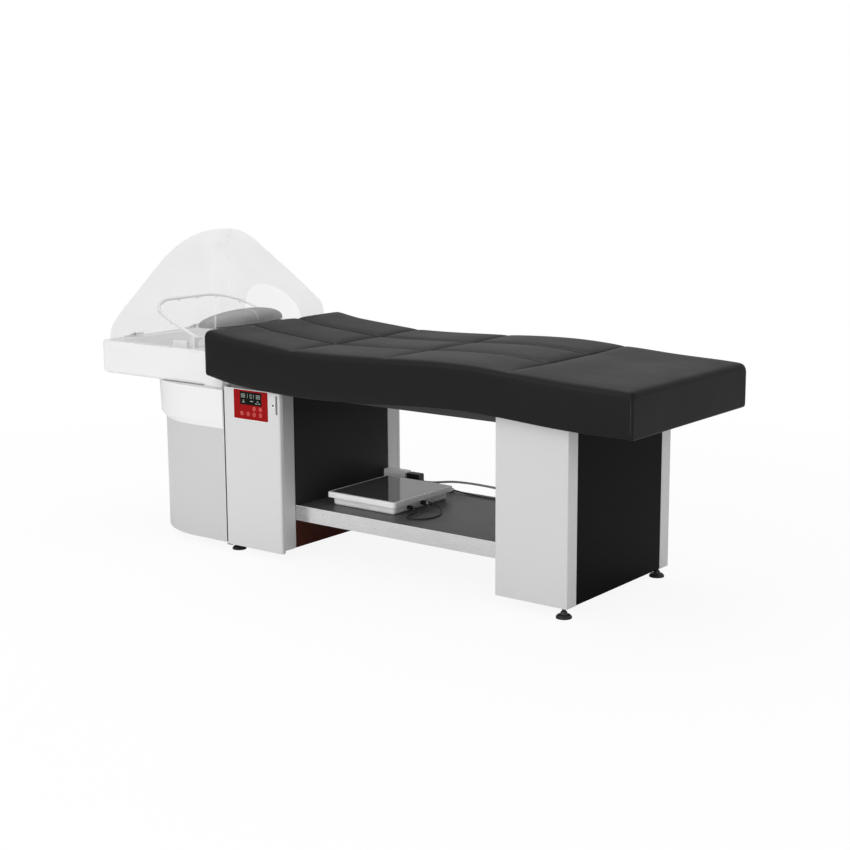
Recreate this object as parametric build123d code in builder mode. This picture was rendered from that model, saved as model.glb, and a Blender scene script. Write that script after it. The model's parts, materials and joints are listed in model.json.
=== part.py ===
from build123d import *
import math
import os

# Hair washing bed in millimetres. +X runs to the foot end, +Y to the far side, +Z up.
# The origin is on the floor under the middle of the whole bed.

os.makedirs("parts", exist_ok=True)

# Reach along the bed
mattress_length = 1652
basin_reach = 578
foot_overhang = 234
head_overhang = 56
pedestal_width = 256

# Width of the bed and depth of the pedestals
mattress_width = 684
side_overhang = 42

# Boards
slab_depth = 53
board = 16
stile = 14
panel_recess = 2
slab_edge_radius = 3

# Heights above the floor
slab_bottom = 35
slab_rise = 17
rail_drop = 37
rail_height = 25
shelf_top = 181
shelf_height = 50
tray_drop = 27
tray_height = 112

# Clearances
seat_gap = 0.3
board_gap = 1
running_gap = 0.1
overrun = 20

# Mattress form
head_thickness = 152
foot_thickness = 134
underside_low = 567
head_rise = 37
hump_rise = 25
top_corner = 24
bottom_corner = 12
side_draw = 5
crown = 10
channel_depth = 6
channel_half_width = 12
end_round = 14
recess_margin = 30
recess_depth = 30
deck_thickness = 15

# Each row is a share of the length, a share of the head rise and a share of the hump rise
wave_shares = ((0, 1, 0), (0.083, 0.4, 0), (0.29, 0, 0), (0.63, 0, 1), (0.86, 0, 0.24), (1, 0, 0.08))
seam_shares = (0.234, 0.468, 0.743)
long_seam_share = 0.168
puff_shares = (0.25, 0.5, 0.75)

# Control panel and lock on the cabinet door
door_thickness = 16
door_below = 9
door_drop = 15
plate_width = 154
plate_height = 98
plate_thickness = 1.6
plate_drop = 3
window_shift = 1
window_drop = 5
key_row_rise = 19
key_left_reach = 40
key_right_reach = 16
window_width = 98
window_height = 44
key_radius = 7.5
key_proud = 0.5
key_travel = 0.5
key_pitch_x = 28.5
key_pitch_z = 19.5
lock_inset = 26
lock_drop = 43
lock_radius = 7
lock_flange_radius = 9.5
lock_flange = 2
lock_depth = 24
cam_length = 22
cam_width = 10
cam_thickness = 3
pivot_radius = 3
bracket_thickness = 3
bracket_width = 20

# Tank housing and apron
housing_below = 6
housing_wall = 3
housing_proud = 16
housing_head_gap = 165
apron_bottom = 423
apron_band = 17
apron_proud = 3
apron_lead = 18
apron_flare = 6

# Water system
flange_reach = 40
tank_wall = 5
tank_gap = 22
tank_top = 350
volute_radius = 56
volute_width = 38
motor_radius = 44
motor_length = 110
pump_y = 60
pump_z = 150
inlet_radius = 12
heater_radius = 50
heater_height = 240
supply_radius = 8
supply_y = -120
supply_z = 510
supply_rise = 430
supply_bend = 36
riser_inset = 95
drain_reach = 225

# Basin
tray_wall = 5
tray_side_inset = 8
tray_round = 15
tray_corner = 24
tray_ledge = 38
tray_ledge_rise = 41
rim_thickness = 5
bowl_floor_rise = 26
bowl_side_gap = 40
bowl_head_gap = 45
bowl_wall = 4
bowl_corner = 60
bowl_draft = 22
bowl_fillet = 26
bowl_foot_gap = 161
drain_radius = 20
strainer_radius = 17
strainer_flange = 6
strainer_thickness = 2
strainer_hole = 3
strainer_count = 6
fitting_length = 70
fitting_lead = 8
fitting_side_gap = 16
fitting_width = 12
fitting_height = 24

# Neck support and pillow
neck_side_gap = 52
neck_depth = 74
neck_height = 61
neck_corner = 12
pillow_overhang = 12
pillow_depth = 110
pillow_height = 60
pillow_tip_height = 30
pillow_tip_depth = 44
pillow_sweep = 34
pillow_seam = 5
neck_back = 52

# Spray arch
arch_side_gap = 27
arch_reach = 290
arch_tube = 11
arch_tilt = 22
arch_bend = 140
arch_pivot_rise = 31
arch_boss_radius = 9
arch_boss_length = 12
arch_pin_radius = 4
post_width = 18
nozzle_count = 8
nozzle_radius = 3
nozzle_length = 6

nozzle_inset_share = 1.5

# Hood. Each row: share of the height, of the length at the head and the foot side, of the
# half width and of the corner, then how far the wall's inside drops with it
hood_height = 393
hood_row_shares = (
    (0, 0, 0, 1, 1, 0),
    (0.12, 0, 0, 1, 1, 0),
    (0.293, 0.125, 0, 0.996, 1, 0),
    (0.42, 0.166, 0.056, 0.861, 1, 0),
    (0.522, 0.208, 0.116, 0.781, 1, 0),
    (0.725, 0.291, 0.247, 0.609, 1, 0),
    (0.827, 0.339, 0.306, 0.507, 1, 0),
    (0.903, 0.387, 0.343, 0.438, 1, 0.3),
    (0.959, 0.414, 0.37, 0.387, 1, 0.7),
    (0.99, 0.457, 0.412, 0.307, 0.82, 1),
    (1, 0.503, 0.459, 0.219, 0.36, 1),
)
hood_wall = 3
hood_side_gap = 18
hood_lift = 1
hood_corner = 22
hood_head_inset = 50
hood_foot_gap = 9
neck_opening = 300
neck_opening_rise = 206
neck_spring_rise = 66
hinge_axis_rise = 10
hinge_offset = 13
hinge_radius = 7
hinge_pin_radius = 2.5
hinge_length = 60
hinge_spacing = 300
hinge_leaf = 3

# Levelling feet
foot_pad_radius = 24
foot_pad_height = 10
foot_stem_radius = 6
foot_stem_reach = 30
foot_inset = 26

# Shelf unit
unit_width = 290
unit_side_gap = 87
unit_height = 46
unit_corner = 12
unit_round_share = 0.8
gland_step = 73
gland_rise = 12
gland_radius = 5
gland_length = 26
plug_rise = 15
plug_radius = 8
plug_length = 41
plug_taper = 20
unit_rim = 18
unit_inset = 14
unit_head_gap = 73
unit_y = -12
glass_thickness = 4
glass_margin = 9
cable_radius = 2.2
back_cable_radius = 4
bend_share = 0.45
cable_hole_inset = 12
cable_hole_rise = 22
cable_hole_step = 14
socket_head_gap = 13
socket_length = 95
socket_depth = 40
socket_height = 51
socket_round = 4
adapter_length = 55
adapter_depth = 30
adapter_height = 46
coupler_reach = 108
coupler_step = 6
cable_run = 697
coupler_length = 33
coupler_radius = 7

# Places worked out from the sizes above
slab_top = underside_low + slab_rise
rail_bottom = slab_top - rail_drop
tray_bottom = slab_top - tray_drop
tray_top = tray_bottom + tray_height
bowl_floor = tray_bottom + bowl_floor_rise
door_bottom = slab_bottom - door_below
door_top = slab_top - door_drop
lock_height = door_top - lock_drop
housing_bottom = slab_bottom - housing_below
pedestal_depth = mattress_width - 2 * side_overhang
pedestal_gap = mattress_length - head_overhang - 2 * pedestal_width - foot_overhang
overall_length = basin_reach + mattress_length
foot_x = overall_length / 2
head_x = -overall_length / 2
mattress_head_x = head_x + basin_reach
foot_outer_x = foot_x - foot_overhang
foot_inner_x = foot_outer_x - pedestal_width
head_inner_x = foot_inner_x - pedestal_gap
head_outer_x = head_inner_x - pedestal_width
tray_end = mattress_head_x - hood_foot_gap + board_gap
half_width = mattress_width / 2
half_depth = pedestal_depth / 2
inner_half = half_depth - slab_depth
slab_height = slab_top - slab_bottom
rail_top = rail_bottom + rail_height


def save(piece, name):
    """Label a finished piece and write its file."""
    piece.part.label = name
    export_step(piece.part, f"parts/{name}.step")


def box_between(low, high):
    """A box from its low corner to its high corner, inside the current part."""
    size = [b - a for a, b in zip(low, high)]
    middle = [(a + b) / 2 for a, b in zip(low, high)]
    with Locations(tuple(middle)):
        Box(*size)


def cut_between(low, high):
    """Cut the box from its low corner to its high corner out of the current part."""
    size = [b - a for a, b in zip(low, high)]
    middle = [(a + b) / 2 for a, b in zip(low, high)]
    with Locations(tuple(middle)):
        Box(*size, mode=Mode.SUBTRACT)


def wave(x):
    """Height of the mattress underside's edge at x, on a smooth curve through the shares."""
    t = (x - mattress_head_x) / mattress_length
    knots = [(s, underside_low + h * head_rise + k * hump_rise) for s, h, k in wave_shares]
    slopes = []
    for i in range(len(knots)):
        a = knots[max(i - 1, 0)]
        b = knots[min(i + 1, len(knots) - 1)]
        slopes.append((b[1] - a[1]) / (b[0] - a[0]))
    t = min(max(t, 0), 1)
    i = max(n for n in range(len(knots) - 1) if knots[n][0] <= t)
    span = knots[i + 1][0] - knots[i][0]
    u = (t - knots[i][0]) / span
    rise = knots[i + 1][1] - knots[i][1]
    bend = slopes[i] * span * u * (1 - u) ** 2 - slopes[i + 1] * span * u ** 2 * (1 - u)
    return knots[i][1] + rise * u ** 2 * (3 - 2 * u) + bend


def thickness(x):
    """Thickness of the mattress at its edge."""
    t = (x - mattress_head_x) / mattress_length
    return head_thickness + (foot_thickness - head_thickness) * t


def wave_points(start, end, lift, count=14):
    """Points of the wave between two places, raised by lift."""
    return [
        (start + (end - start) * i / count, wave(start + (end - start) * i / count) + lift)
        for i in range(count + 1)
    ]


# Mattress
seam_xs = [mattress_head_x + s * mattress_length for s in seam_shares]
long_seam = long_seam_share * mattress_width


def mattress_section(x, inset, puff, channel):
    """One cross section of the mattress: inset draws it in, puff is the crown's share."""
    half = half_width - inset
    low = wave(x) + inset / 2
    high = wave(x) + thickness(x) - inset
    rise = crown * puff
    seam = high + rise * 0.7 - channel
    with BuildSketch(Plane.YZ.offset(x)) as section:
        with BuildLine():
            Line((-half + bottom_corner, low), (half - bottom_corner, low))
            for side in (1, -1):
                knuckle = 1 - math.sqrt(0.5)
                ThreePointArc(
                    (side * (half - bottom_corner), low),
                    (side * (half - bottom_corner * knuckle), low + bottom_corner * knuckle),
                    (side * half, low + bottom_corner),
                )
                ThreePointArc(
                    (side * half, low + bottom_corner),
                    (side * (half - side_draw), (low + high) / 2),
                    (side * half, high - top_corner),
                )
                ThreePointArc(
                    (side * half, high - top_corner),
                    (side * (half - top_corner * knuckle), high - top_corner * knuckle),
                    (side * (half - top_corner), high),
                )
                ThreePointArc(
                    (side * (half - top_corner), high),
                    (side * (half - top_corner + long_seam) / 2, high + rise * 0.85),
                    (side * long_seam, seam),
                )
            ThreePointArc((-long_seam, seam), (0, high + rise), (long_seam, seam))
        make_face()
    return section.sketch


bounds = [mattress_head_x] + seam_xs + [foot_x]
end_shares = ((0, 1), (0.15, 0.5), (0.5, 0.14), (1, 0))
plain = 0.01 * channel_depth
sections = []
for share, draw in end_shares:
    x = mattress_head_x + end_round * share
    sections.append(mattress_section(x, end_round * draw, 1 - draw, channel_depth))
for start, end in zip(bounds[:-1], bounds[1:]):
    depth = plain if end == foot_x else channel_depth
    if start != mattress_head_x:
        sections.append(mattress_section(start + channel_half_width, 0, 0.8, depth))
    for share in puff_shares:
        sections.append(mattress_section(start + share * (end - start), 0, 1, depth))
    if end != foot_x:
        sections.append(mattress_section(end - channel_half_width, 0, 0.8, depth))
        sections.append(mattress_section(end, 0, 0.15, depth))
for share, draw in reversed(end_shares):
    x = foot_x - end_round * share
    sections.append(mattress_section(x, end_round * draw, 1 - draw, plain))

with BuildPart() as mattress:
    loft(sections, ruled=True)
    with BuildSketch(Plane.XZ):
        with BuildLine():
            recess_start = mattress_head_x + recess_margin
            recess_end = foot_x - recess_margin
            recess_floor = underside_low - overrun
            roof = Spline(*wave_points(recess_start, recess_end, recess_depth))
            Polyline(roof @ 1, (recess_end, recess_floor), (recess_start, recess_floor), roof @ 0)
        make_face()
    extrude(amount=half_width - recess_margin, both=True, mode=Mode.SUBTRACT)
save(mattress, "mattress")

# Curved plywood deck in the mattress's recess, bearers and rails under it
deck_start = mattress_head_x + recess_margin + board_gap
deck_end = foot_x - recess_margin - board_gap
deck_lift = recess_depth - deck_thickness - seat_gap
with BuildPart() as mattress_deck:
    with BuildSketch(Plane.XZ):
        with BuildLine():
            top = Spline(*wave_points(deck_start, deck_end, deck_lift + deck_thickness))
            low = Spline(*wave_points(deck_start, deck_end, deck_lift))
            Line(top @ 0, low @ 0)
            Line(top @ 1, low @ 1)
        make_face()
    extrude(amount=half_width - recess_margin - board_gap, both=True)
save(mattress_deck, "mattress_deck")

rail_width = 50
rail_wall = 2
rail_inset = 47
rail_y = inner_half - rail_inset
rail_start = head_outer_x + board
rail_end = deck_end - foot_overhang / 4
bearer = 18
with BuildPart() as deck_bearers:
    for side in (1, -1):
        with BuildSketch(Plane.XZ.offset(side * rail_y)):
            with BuildLine():
                top = Spline(*wave_points(deck_start, deck_end, deck_lift - running_gap))
                Polyline(top @ 1, (deck_end, rail_top), (deck_start, rail_top), top @ 0)
            make_face()
        extrude(amount=bearer / 2, both=True)
    for low_x, high_x in ((deck_start - overrun, rail_start), (rail_end, deck_end + overrun)):
        cut_between((low_x, -half_depth, rail_top - overrun), (high_x, half_depth, slab_top + slab_height))
save(deck_bearers, "deck_bearers")

with BuildPart() as bed_rails:
    for side in (1, -1):
        box_between(
            (rail_start, side * rail_y - rail_width / 2, rail_bottom),
            (rail_end, side * rail_y + rail_width / 2, rail_top),
        )
        cut_between(
            (rail_start - overrun, side * rail_y - rail_width / 2 + rail_wall, rail_bottom + rail_wall),
            (rail_end + overrun, side * rail_y + rail_width / 2 - rail_wall, rail_top - rail_wall),
        )
save(bed_rails, "bed_rails")

# Foot pedestal
foot_stem_y = half_depth - foot_inset


def slab(name, low_x, high_x, side, foot_at):
    """One thick side slab, with the hole of its levelling foot."""
    with BuildPart() as piece:
        box_between(
            (low_x, side * half_depth - (slab_depth if side > 0 else 0), slab_bottom),
            (high_x, side * half_depth + (0 if side > 0 else slab_depth), slab_top),
        )
        fillet(piece.edges().filter_by(Axis.Z), slab_edge_radius)
        with Locations((foot_at, side * foot_stem_y, slab_bottom)):
            Cylinder(
                foot_stem_radius + running_gap,
                2 * (foot_stem_reach + board_gap),
                mode=Mode.SUBTRACT,
            )
    save(piece, name)


def panel(name, low_x, holes=()):
    """One upright board between the slabs, with round holes where pipes or cables pass."""
    with BuildPart() as piece:
        box_between((low_x, -inner_half, slab_bottom), (low_x + board, inner_half, rail_bottom))
        for hole_y, hole_z, hole_radius in holes:
            with Locations(Plane.YZ.offset(low_x)):
                with Locations((hole_y, hole_z)):
                    Cylinder(hole_radius, 4 * board, mode=Mode.SUBTRACT)
    save(piece, name)


def boards(name, low_x, high_x):
    """The top board and the base board of one pedestal."""
    with BuildPart() as piece:
        for low_z in (slab_bottom, rail_bottom - board):
            box_between((low_x, -inner_half, low_z), (high_x, inner_half, low_z + board))
    save(piece, name)


foot_foot_x = foot_outer_x - foot_inset
head_foot_x = head_outer_x + board
slab("foot_near_slab", foot_inner_x, foot_outer_x, -1, foot_foot_x)
slab("foot_far_slab", foot_inner_x, foot_outer_x, 1, foot_foot_x)
cable_hole_y = inner_half - cable_hole_inset
cable_hole_z = shelf_top + cable_hole_rise
panel("foot_end_panel", foot_outer_x - panel_recess - board)
panel(
    "foot_inner_panel",
    foot_inner_x + panel_recess,
    (
        (cable_hole_y, cable_hole_z, back_cable_radius + seat_gap),
        (cable_hole_y - cable_hole_step, cable_hole_z - cable_hole_step, cable_radius + seat_gap),
    ),
)
boards(
    "foot_boards",
    foot_inner_x + panel_recess + board,
    foot_outer_x - panel_recess - board,
)

# Head pedestal
frame_rail = 42
door_left = head_outer_x + board_gap
door_right = head_inner_x
door_y = -half_depth - board_gap - door_thickness / 2
door_face_y = door_y - door_thickness / 2
pivot_x = door_left + door_thickness / 2
plate_x = (door_left + door_right) / 2
lock_x = head_inner_x - lock_inset
cam_y = -half_depth - board_gap + lock_depth

with BuildPart() as door_frame:
    box_between((head_outer_x, -half_depth, slab_bottom), (head_inner_x, -inner_half, slab_top))
    fillet(door_frame.edges().filter_by(Axis.Z), slab_edge_radius)
    cut_between(
        (head_outer_x + stile, -half_depth - overrun, slab_bottom + frame_rail),
        (head_inner_x - stile, -inner_half + overrun, slab_top - frame_rail),
    )
    cut_between(
        (head_inner_x - stile - board_gap, cam_y - 2 * cam_thickness, lock_height - cam_length - board_gap),
        (lock_x + cam_length + board_gap, overrun - inner_half, lock_height + cam_length + board_gap),
    )
    with Locations((head_foot_x, -foot_stem_y, slab_bottom)):
        Cylinder(foot_stem_radius + running_gap, 2 * (foot_stem_reach + board_gap), mode=Mode.SUBTRACT)
save(door_frame, "door_frame")

slab("head_far_slab", head_outer_x, head_inner_x, 1, head_foot_x)
panel("head_inner_panel", head_inner_x - panel_recess - board)
panel(
    "head_outer_panel",
    head_outer_x,
    (
        (pump_y, pump_z, inlet_radius + board_gap),
        (supply_y, supply_z, supply_radius + 2 * board_gap),
    ),
)
boards("head_boards", head_outer_x + board, head_inner_x - panel_recess - board)

with BuildPart() as far_cover_panel:
    box_between((door_left, half_depth, door_bottom), (door_right, half_depth + door_thickness, door_top))
    fillet(far_cover_panel.edges().filter_by(Axis.Z).group_by(Axis.Y)[-1], door_thickness / 3)
save(far_cover_panel, "far_cover_panel")

# Shelf between the pedestals
edge_width = 22
edge_wall = 2
lip = 4
with BuildPart() as shelf_board:
    box_between(
        (head_inner_x, -inner_half + edge_wall, shelf_top - board - edge_wall),
        (foot_inner_x, inner_half - edge_wall, shelf_top - edge_wall),
    )
save(shelf_board, "shelf_board")

with BuildPart() as shelf_edge_rails:
    for side in (1, -1):
        outer = side * inner_half
        inner = side * (inner_half - edge_width)
        web = side * (inner_half - edge_wall)
        lip_y = side * (inner_half - lip)
        low = shelf_top - shelf_height
        with BuildSketch(Plane.YZ.offset(head_inner_x)):
            with BuildLine():
                Polyline(
                    (outer, low),
                    (outer, shelf_top),
                    (lip_y, shelf_top),
                    (lip_y, shelf_top - edge_wall),
                    (web, shelf_top - edge_wall),
                    (web, low + edge_wall),
                    (inner, low + edge_wall),
                    (inner, low),
                    close=True,
                )
            make_face()
        extrude(amount=pedestal_gap)
save(shelf_edge_rails, "shelf_edge_rails")

# Cabinet door with its pivots, lock and control panel
plate_low = door_top - plate_drop - plate_height
window_x = plate_x + window_shift
window_z = plate_low + plate_height - window_drop - window_height / 2
key_low_z = plate_low + key_row_rise
key_left_x = plate_x - key_left_reach
key_right_x = plate_x + key_right_reach
key_places = (
    [(key_left_x, key_low_z), (key_left_x + key_pitch_x, key_low_z)]
    + [(key_right_x, key_low_z + row * key_pitch_z) for row in (0, 1)]
    + [(key_right_x + key_pitch_x, key_low_z + row * key_pitch_z) for row in (0, 1)]
)
plate_face_y = door_face_y - plate_thickness

with BuildPart() as cabinet_door:
    box_between(
        (door_left, door_face_y, door_bottom),
        (door_right, door_face_y + door_thickness, door_top),
    )
    uprights = cabinet_door.edges().filter_by(Axis.Z)
    fillet(uprights.group_by(Axis.X)[0], door_thickness / 2 - running_gap)
    fillet(cabinet_door.edges().filter_by(Axis.Z).group_by(Axis.X)[-1].group_by(Axis.Y)[0], door_thickness / 2)
    with Locations((pivot_x, door_y, (door_top + door_bottom) / 2)):
        Cylinder(pivot_radius + running_gap, door_top, mode=Mode.SUBTRACT)
    with Locations(Plane.XZ.offset(-door_y)):
        with Locations((lock_x, lock_height)):
            Cylinder(lock_radius + running_gap, 2 * door_thickness, mode=Mode.SUBTRACT)
    for key_x, key_z in key_places:
        with Locations(Plane.XZ.offset(-door_face_y)):
            with Locations((key_x, key_z)):
                Cylinder(
                    key_radius + running_gap,
                    2 * (key_travel + running_gap),
                    mode=Mode.SUBTRACT,
                )
save(cabinet_door, "cabinet_door")

with BuildPart() as door_pivots:
    far_end = -half_depth
    near_end = door_face_y
    top_low = door_top + board_gap
    box_between(
        (door_left, near_end, top_low),
        (door_left + bracket_width, far_end, top_low + bracket_thickness),
    )
    box_between(
        (door_left, far_end - bracket_thickness, top_low),
        (door_left + bracket_width, far_end, slab_top - board_gap),
    )
    with Locations((pivot_x, door_y, top_low - bracket_width / 4)):
        Cylinder(pivot_radius, bracket_width / 2 + bracket_thickness)
    foot_low = door_bottom - board_gap - bracket_thickness
    box_between(
        (door_left, near_end, foot_low),
        (door_left + bracket_width, far_end + bracket_thickness, foot_low + bracket_thickness),
    )
    box_between(
        (door_left, far_end, foot_low),
        (door_left + bracket_width, far_end + bracket_thickness, slab_bottom),
    )
    box_between(
        (door_left, far_end, slab_bottom - bracket_thickness),
        (door_left + bracket_width, far_end + board, slab_bottom),
    )
    with Locations((pivot_x, door_y, foot_low + bracket_thickness + bracket_width / 4)):
        Cylinder(pivot_radius, bracket_width / 2 + bracket_thickness)
save(door_pivots, "door_pivots")

with BuildPart() as cam_lock:
    barrel_end = cam_y - cam_thickness
    with BuildSketch(Plane.XZ.offset(-door_face_y)):
        with Locations((lock_x, lock_height)):
            Circle(lock_flange_radius)
    extrude(amount=lock_flange)
    fillet(cam_lock.edges().group_by(Axis.Y)[0], lock_flange / 2)
    with BuildSketch(Plane.XZ.offset(-door_face_y)):
        with Locations((lock_x, lock_height)):
            Circle(lock_radius)
    extrude(amount=door_face_y - barrel_end)
    with BuildSketch(Plane.XZ.offset(-barrel_end)):
        with Locations((lock_x, lock_height - cam_length / 2 + cam_width / 4)):
            SlotOverall(cam_length + cam_width / 2, cam_width, rotation=90)
    extrude(amount=-cam_thickness)
    with BuildSketch(Plane.XZ.offset(-door_face_y + lock_flange)):
        with Locations((lock_x, lock_height)):
            SlotOverall(lock_radius, lock_flange / 2, rotation=90)
    extrude(amount=-lock_flange, mode=Mode.SUBTRACT)
save(cam_lock, "cam_lock")

with BuildPart() as control_plate:
    box_between(
        (plate_x - plate_width / 2, plate_face_y, plate_low),
        (plate_x + plate_width / 2, door_face_y, plate_low + plate_height),
    )
    fillet(control_plate.edges().filter_by(Axis.Y), 2 * plate_thickness)
    cut_between(
        (window_x - window_width / 2, plate_face_y - overrun, window_z - window_height / 2),
        (window_x + window_width / 2, door_face_y + overrun, window_z + window_height / 2),
    )
    for key_x, key_z in key_places:
        with Locations(Plane.XZ.offset(-door_face_y)):
            with Locations((key_x, key_z)):
                Cylinder(key_radius + running_gap, 3 * plate_thickness, mode=Mode.SUBTRACT)
save(control_plate, "control_plate")

with BuildPart() as display_window:
    box_between(
        (window_x - window_width / 2 + seat_gap, plate_face_y, window_z - window_height / 2 + seat_gap),
        (window_x + window_width / 2 - seat_gap, door_face_y, window_z + window_height / 2 - seat_gap),
    )
save(display_window, "display_window")

for number, (key_x, key_z) in enumerate(key_places, start=1):
    with BuildPart() as key:
        with BuildSketch(Plane.XZ.offset(-door_face_y)):
            with Locations((key_x, key_z)):
                Circle(key_radius)
        extrude(amount=plate_thickness + key_proud)
        fillet(key.edges().group_by(Axis.Y)[0], 0.8 * key_proud)
    save(key, f"key_{number}")

control_box_depth = 36
control_box_margin = 6
with BuildPart() as control_box:
    box_between(
        (plate_x - plate_width / 2 + control_box_margin, door_face_y + door_thickness, plate_low),
        (
            plate_x + plate_width / 2 - 2 * control_box_margin,
            door_face_y + door_thickness + control_box_depth,
            slab_top - frame_rail - control_box_margin,
        ),
    )
    fillet(control_box.edges().group_by(Axis.Y)[-1], control_box_margin / 2)
save(control_box, "control_box")

# Tank housing, round in plan, with its apron
housing_radius = half_depth + housing_proud
housing_end = head_outer_x - panel_recess
housing_centre = head_x + housing_head_gap + housing_radius
housing_top = tray_bottom
housing_floor = housing_bottom + housing_wall


def d_shape(level, radius, centre, end):
    """A plan outline at a level: half round towards the head, straight sides up to the end."""
    with BuildSketch(Plane.XY.offset(level)) as outline:
        with BuildLine():
            Polyline((centre, -radius), (end, -radius), (end, radius), (centre, radius))
            ThreePointArc((centre, -radius), (centre - radius, 0), (centre, radius))
        make_face()
    return outline.sketch


with BuildPart() as tank_housing:
    extrude(
        d_shape(housing_bottom, housing_radius, housing_centre, housing_end),
        amount=housing_top - housing_bottom,
    )
    extrude(
        d_shape(housing_floor, housing_radius - housing_wall, housing_centre, housing_end + overrun),
        amount=housing_top,
        mode=Mode.SUBTRACT,
    )
    box_between(
        (housing_end - flange_reach, -inner_half, housing_bottom),
        (head_outer_x + flange_reach, inner_half, housing_floor),
    )
    box_between(
        (housing_end - board / 2, -inner_half, housing_floor),
        (head_outer_x + flange_reach, inner_half, slab_bottom),
    )
save(tank_housing, "tank_housing")

with BuildPart() as housing_apron:
    apron_rows = (
        (apron_bottom, 0, 0),
        (apron_bottom + apron_band, apron_proud, apron_lead),
        (housing_top - board_gap, apron_proud, apron_lead + apron_flare),
    )
    outlines = [
        d_shape(level, housing_radius + seat_gap + board_gap + proud, housing_centre - lead, housing_end)
        for level, proud, lead in apron_rows
    ]
    loft(outlines, ruled=True)
    extrude(
        d_shape(apron_bottom - overrun, housing_radius, housing_centre, housing_end + overrun),
        amount=housing_top,
        mode=Mode.SUBTRACT,
    )
save(housing_apron, "housing_apron")

# Water tank, pump, heater and pipes
tank_end = housing_end - board
drain_x = head_x + drain_reach
with BuildPart() as water_tank:
    extrude(
        d_shape(housing_floor, housing_radius - tank_gap, housing_centre, tank_end),
        amount=tank_top - housing_floor,
    )
    fillet(water_tank.edges().group_by(Axis.Z)[-1], tank_wall)
    extrude(
        d_shape(
            housing_floor + tank_wall,
            housing_radius - tank_gap - tank_wall,
            housing_centre,
            tank_end - tank_wall,
        ),
        amount=tank_top - housing_floor - 2 * tank_wall,
        mode=Mode.SUBTRACT,
    )
    with Locations((drain_x, 0, tank_top)):
        Cylinder(drain_radius - tank_wall, 4 * tank_wall, mode=Mode.SUBTRACT)
    with Locations(Plane.YZ.offset(tank_end)):
        with Locations((pump_y, pump_z)):
            Cylinder(inlet_radius - tank_wall / 2, 4 * tank_wall, mode=Mode.SUBTRACT)
save(water_tank, "water_tank")

base_top = slab_bottom + board
volute_x = head_outer_x + board + board / 2
motor_end = volute_x + volute_width + motor_length
outlet_x = volute_x + volute_width / 2
outlet_top = pump_z + volute_radius + inlet_radius
with BuildPart() as circulation_pump:
    with BuildSketch(Plane.YZ.offset(volute_x)):
        with Locations((pump_y, pump_z)):
            Circle(volute_radius)
    extrude(amount=volute_width)
    with BuildSketch(Plane.YZ.offset(volute_x + volute_width)):
        with Locations((pump_y, pump_z)):
            Circle(motor_radius)
    extrude(amount=motor_length)
    fillet(circulation_pump.edges().group_by(Axis.X)[-1], motor_radius / 6)
    with BuildSketch(Plane.YZ.offset(tank_end)):
        with Locations((pump_y, pump_z)):
            Circle(inlet_radius)
    extrude(amount=volute_x - tank_end)
    with BuildSketch(Plane.XY.offset(pump_z)):
        with Locations((outlet_x, pump_y)):
            Circle(inlet_radius)
    extrude(amount=outlet_top - pump_z)
    box_between(
        (volute_x + volute_width, pump_y - motor_radius, base_top),
        (motor_end - volute_width, pump_y + motor_radius, pump_z - motor_radius / 2),
    )
save(circulation_pump, "circulation_pump")

heater_x = head_inner_x - panel_recess - board - heater_radius - board / 2
heater_y = inner_half - heater_radius - board / 2
with BuildPart() as water_heater:
    with BuildSketch(Plane.XY.offset(base_top)):
        with Locations((heater_x, heater_y)):
            Circle(heater_radius)
    extrude(amount=heater_height)
    fillet(water_heater.edges().group_by(Axis.Z)[-1], heater_radius / 3)
save(water_heater, "water_heater")

deck_top = tray_top + rim_thickness
riser_x = tray_end - riser_inset
with BuildPart() as supply_pipe:
    with BuildLine() as supply_route:
        FilletPolyline(
            (outlet_x, pump_y, outlet_top),
            (outlet_x, pump_y, supply_rise),
            (outlet_x, supply_y, supply_z),
            (riser_x, supply_y, supply_z),
            (riser_x, supply_y, deck_top),
            radius=supply_bend,
        )
    with BuildSketch(Plane(supply_route.line @ 0, z_dir=supply_route.line % 0)):
        Circle(supply_radius)
    sweep()
save(supply_pipe, "supply_pipe")

with BuildPart() as drain_pipe:
    with BuildSketch(Plane.XY.offset(tank_top)):
        with Locations((drain_x, 0)):
            Circle(drain_radius)
            Circle(drain_radius - housing_wall, mode=Mode.SUBTRACT)
    extrude(amount=bowl_floor - bowl_wall - tank_top)
save(drain_pipe, "drain_pipe")

# Basin: outer tray, bowl with its deck, strainer, brackets and a fitting on the rim
ledge_end = tray_end + tray_ledge
tray_half = half_depth - tray_side_inset
tray_ledge_top = tray_bottom + tray_ledge_rise
bowl_half = tray_half - bowl_side_gap


def rounded(level, low_x, high_x, half, corner):
    """A rounded rectangle at a level, centred on the middle line."""
    with BuildSketch(Plane.XY.offset(level)) as outline:
        with Locations(((low_x + high_x) / 2, 0)):
            RectangleRounded(high_x - low_x, 2 * half, corner)
    return outline.sketch


with BuildPart() as basin_tray:
    extrude(rounded(tray_bottom, head_x, tray_end, tray_half, tray_corner), amount=tray_top - tray_bottom)
    fillet(basin_tray.edges().group_by(Axis.Z)[0], tray_round)
    box_between((tray_end - 2 * tray_corner, -tray_half, tray_bottom), (ledge_end, tray_half, tray_ledge_top))
    extrude(
        rounded(
            tray_bottom + tray_wall,
            head_x + tray_wall,
            tray_end - tray_wall,
            tray_half - tray_wall,
            tray_corner - tray_wall,
        ),
        amount=tray_top,
        mode=Mode.SUBTRACT,
    )
    with Locations((drain_x, 0, tray_bottom)):
        Cylinder(drain_radius + board_gap, 4 * tray_wall, mode=Mode.SUBTRACT)
    with Locations((riser_x, supply_y, tray_bottom)):
        Cylinder(supply_radius + board_gap, 4 * tray_wall, mode=Mode.SUBTRACT)
save(basin_tray, "basin_tray")

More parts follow.
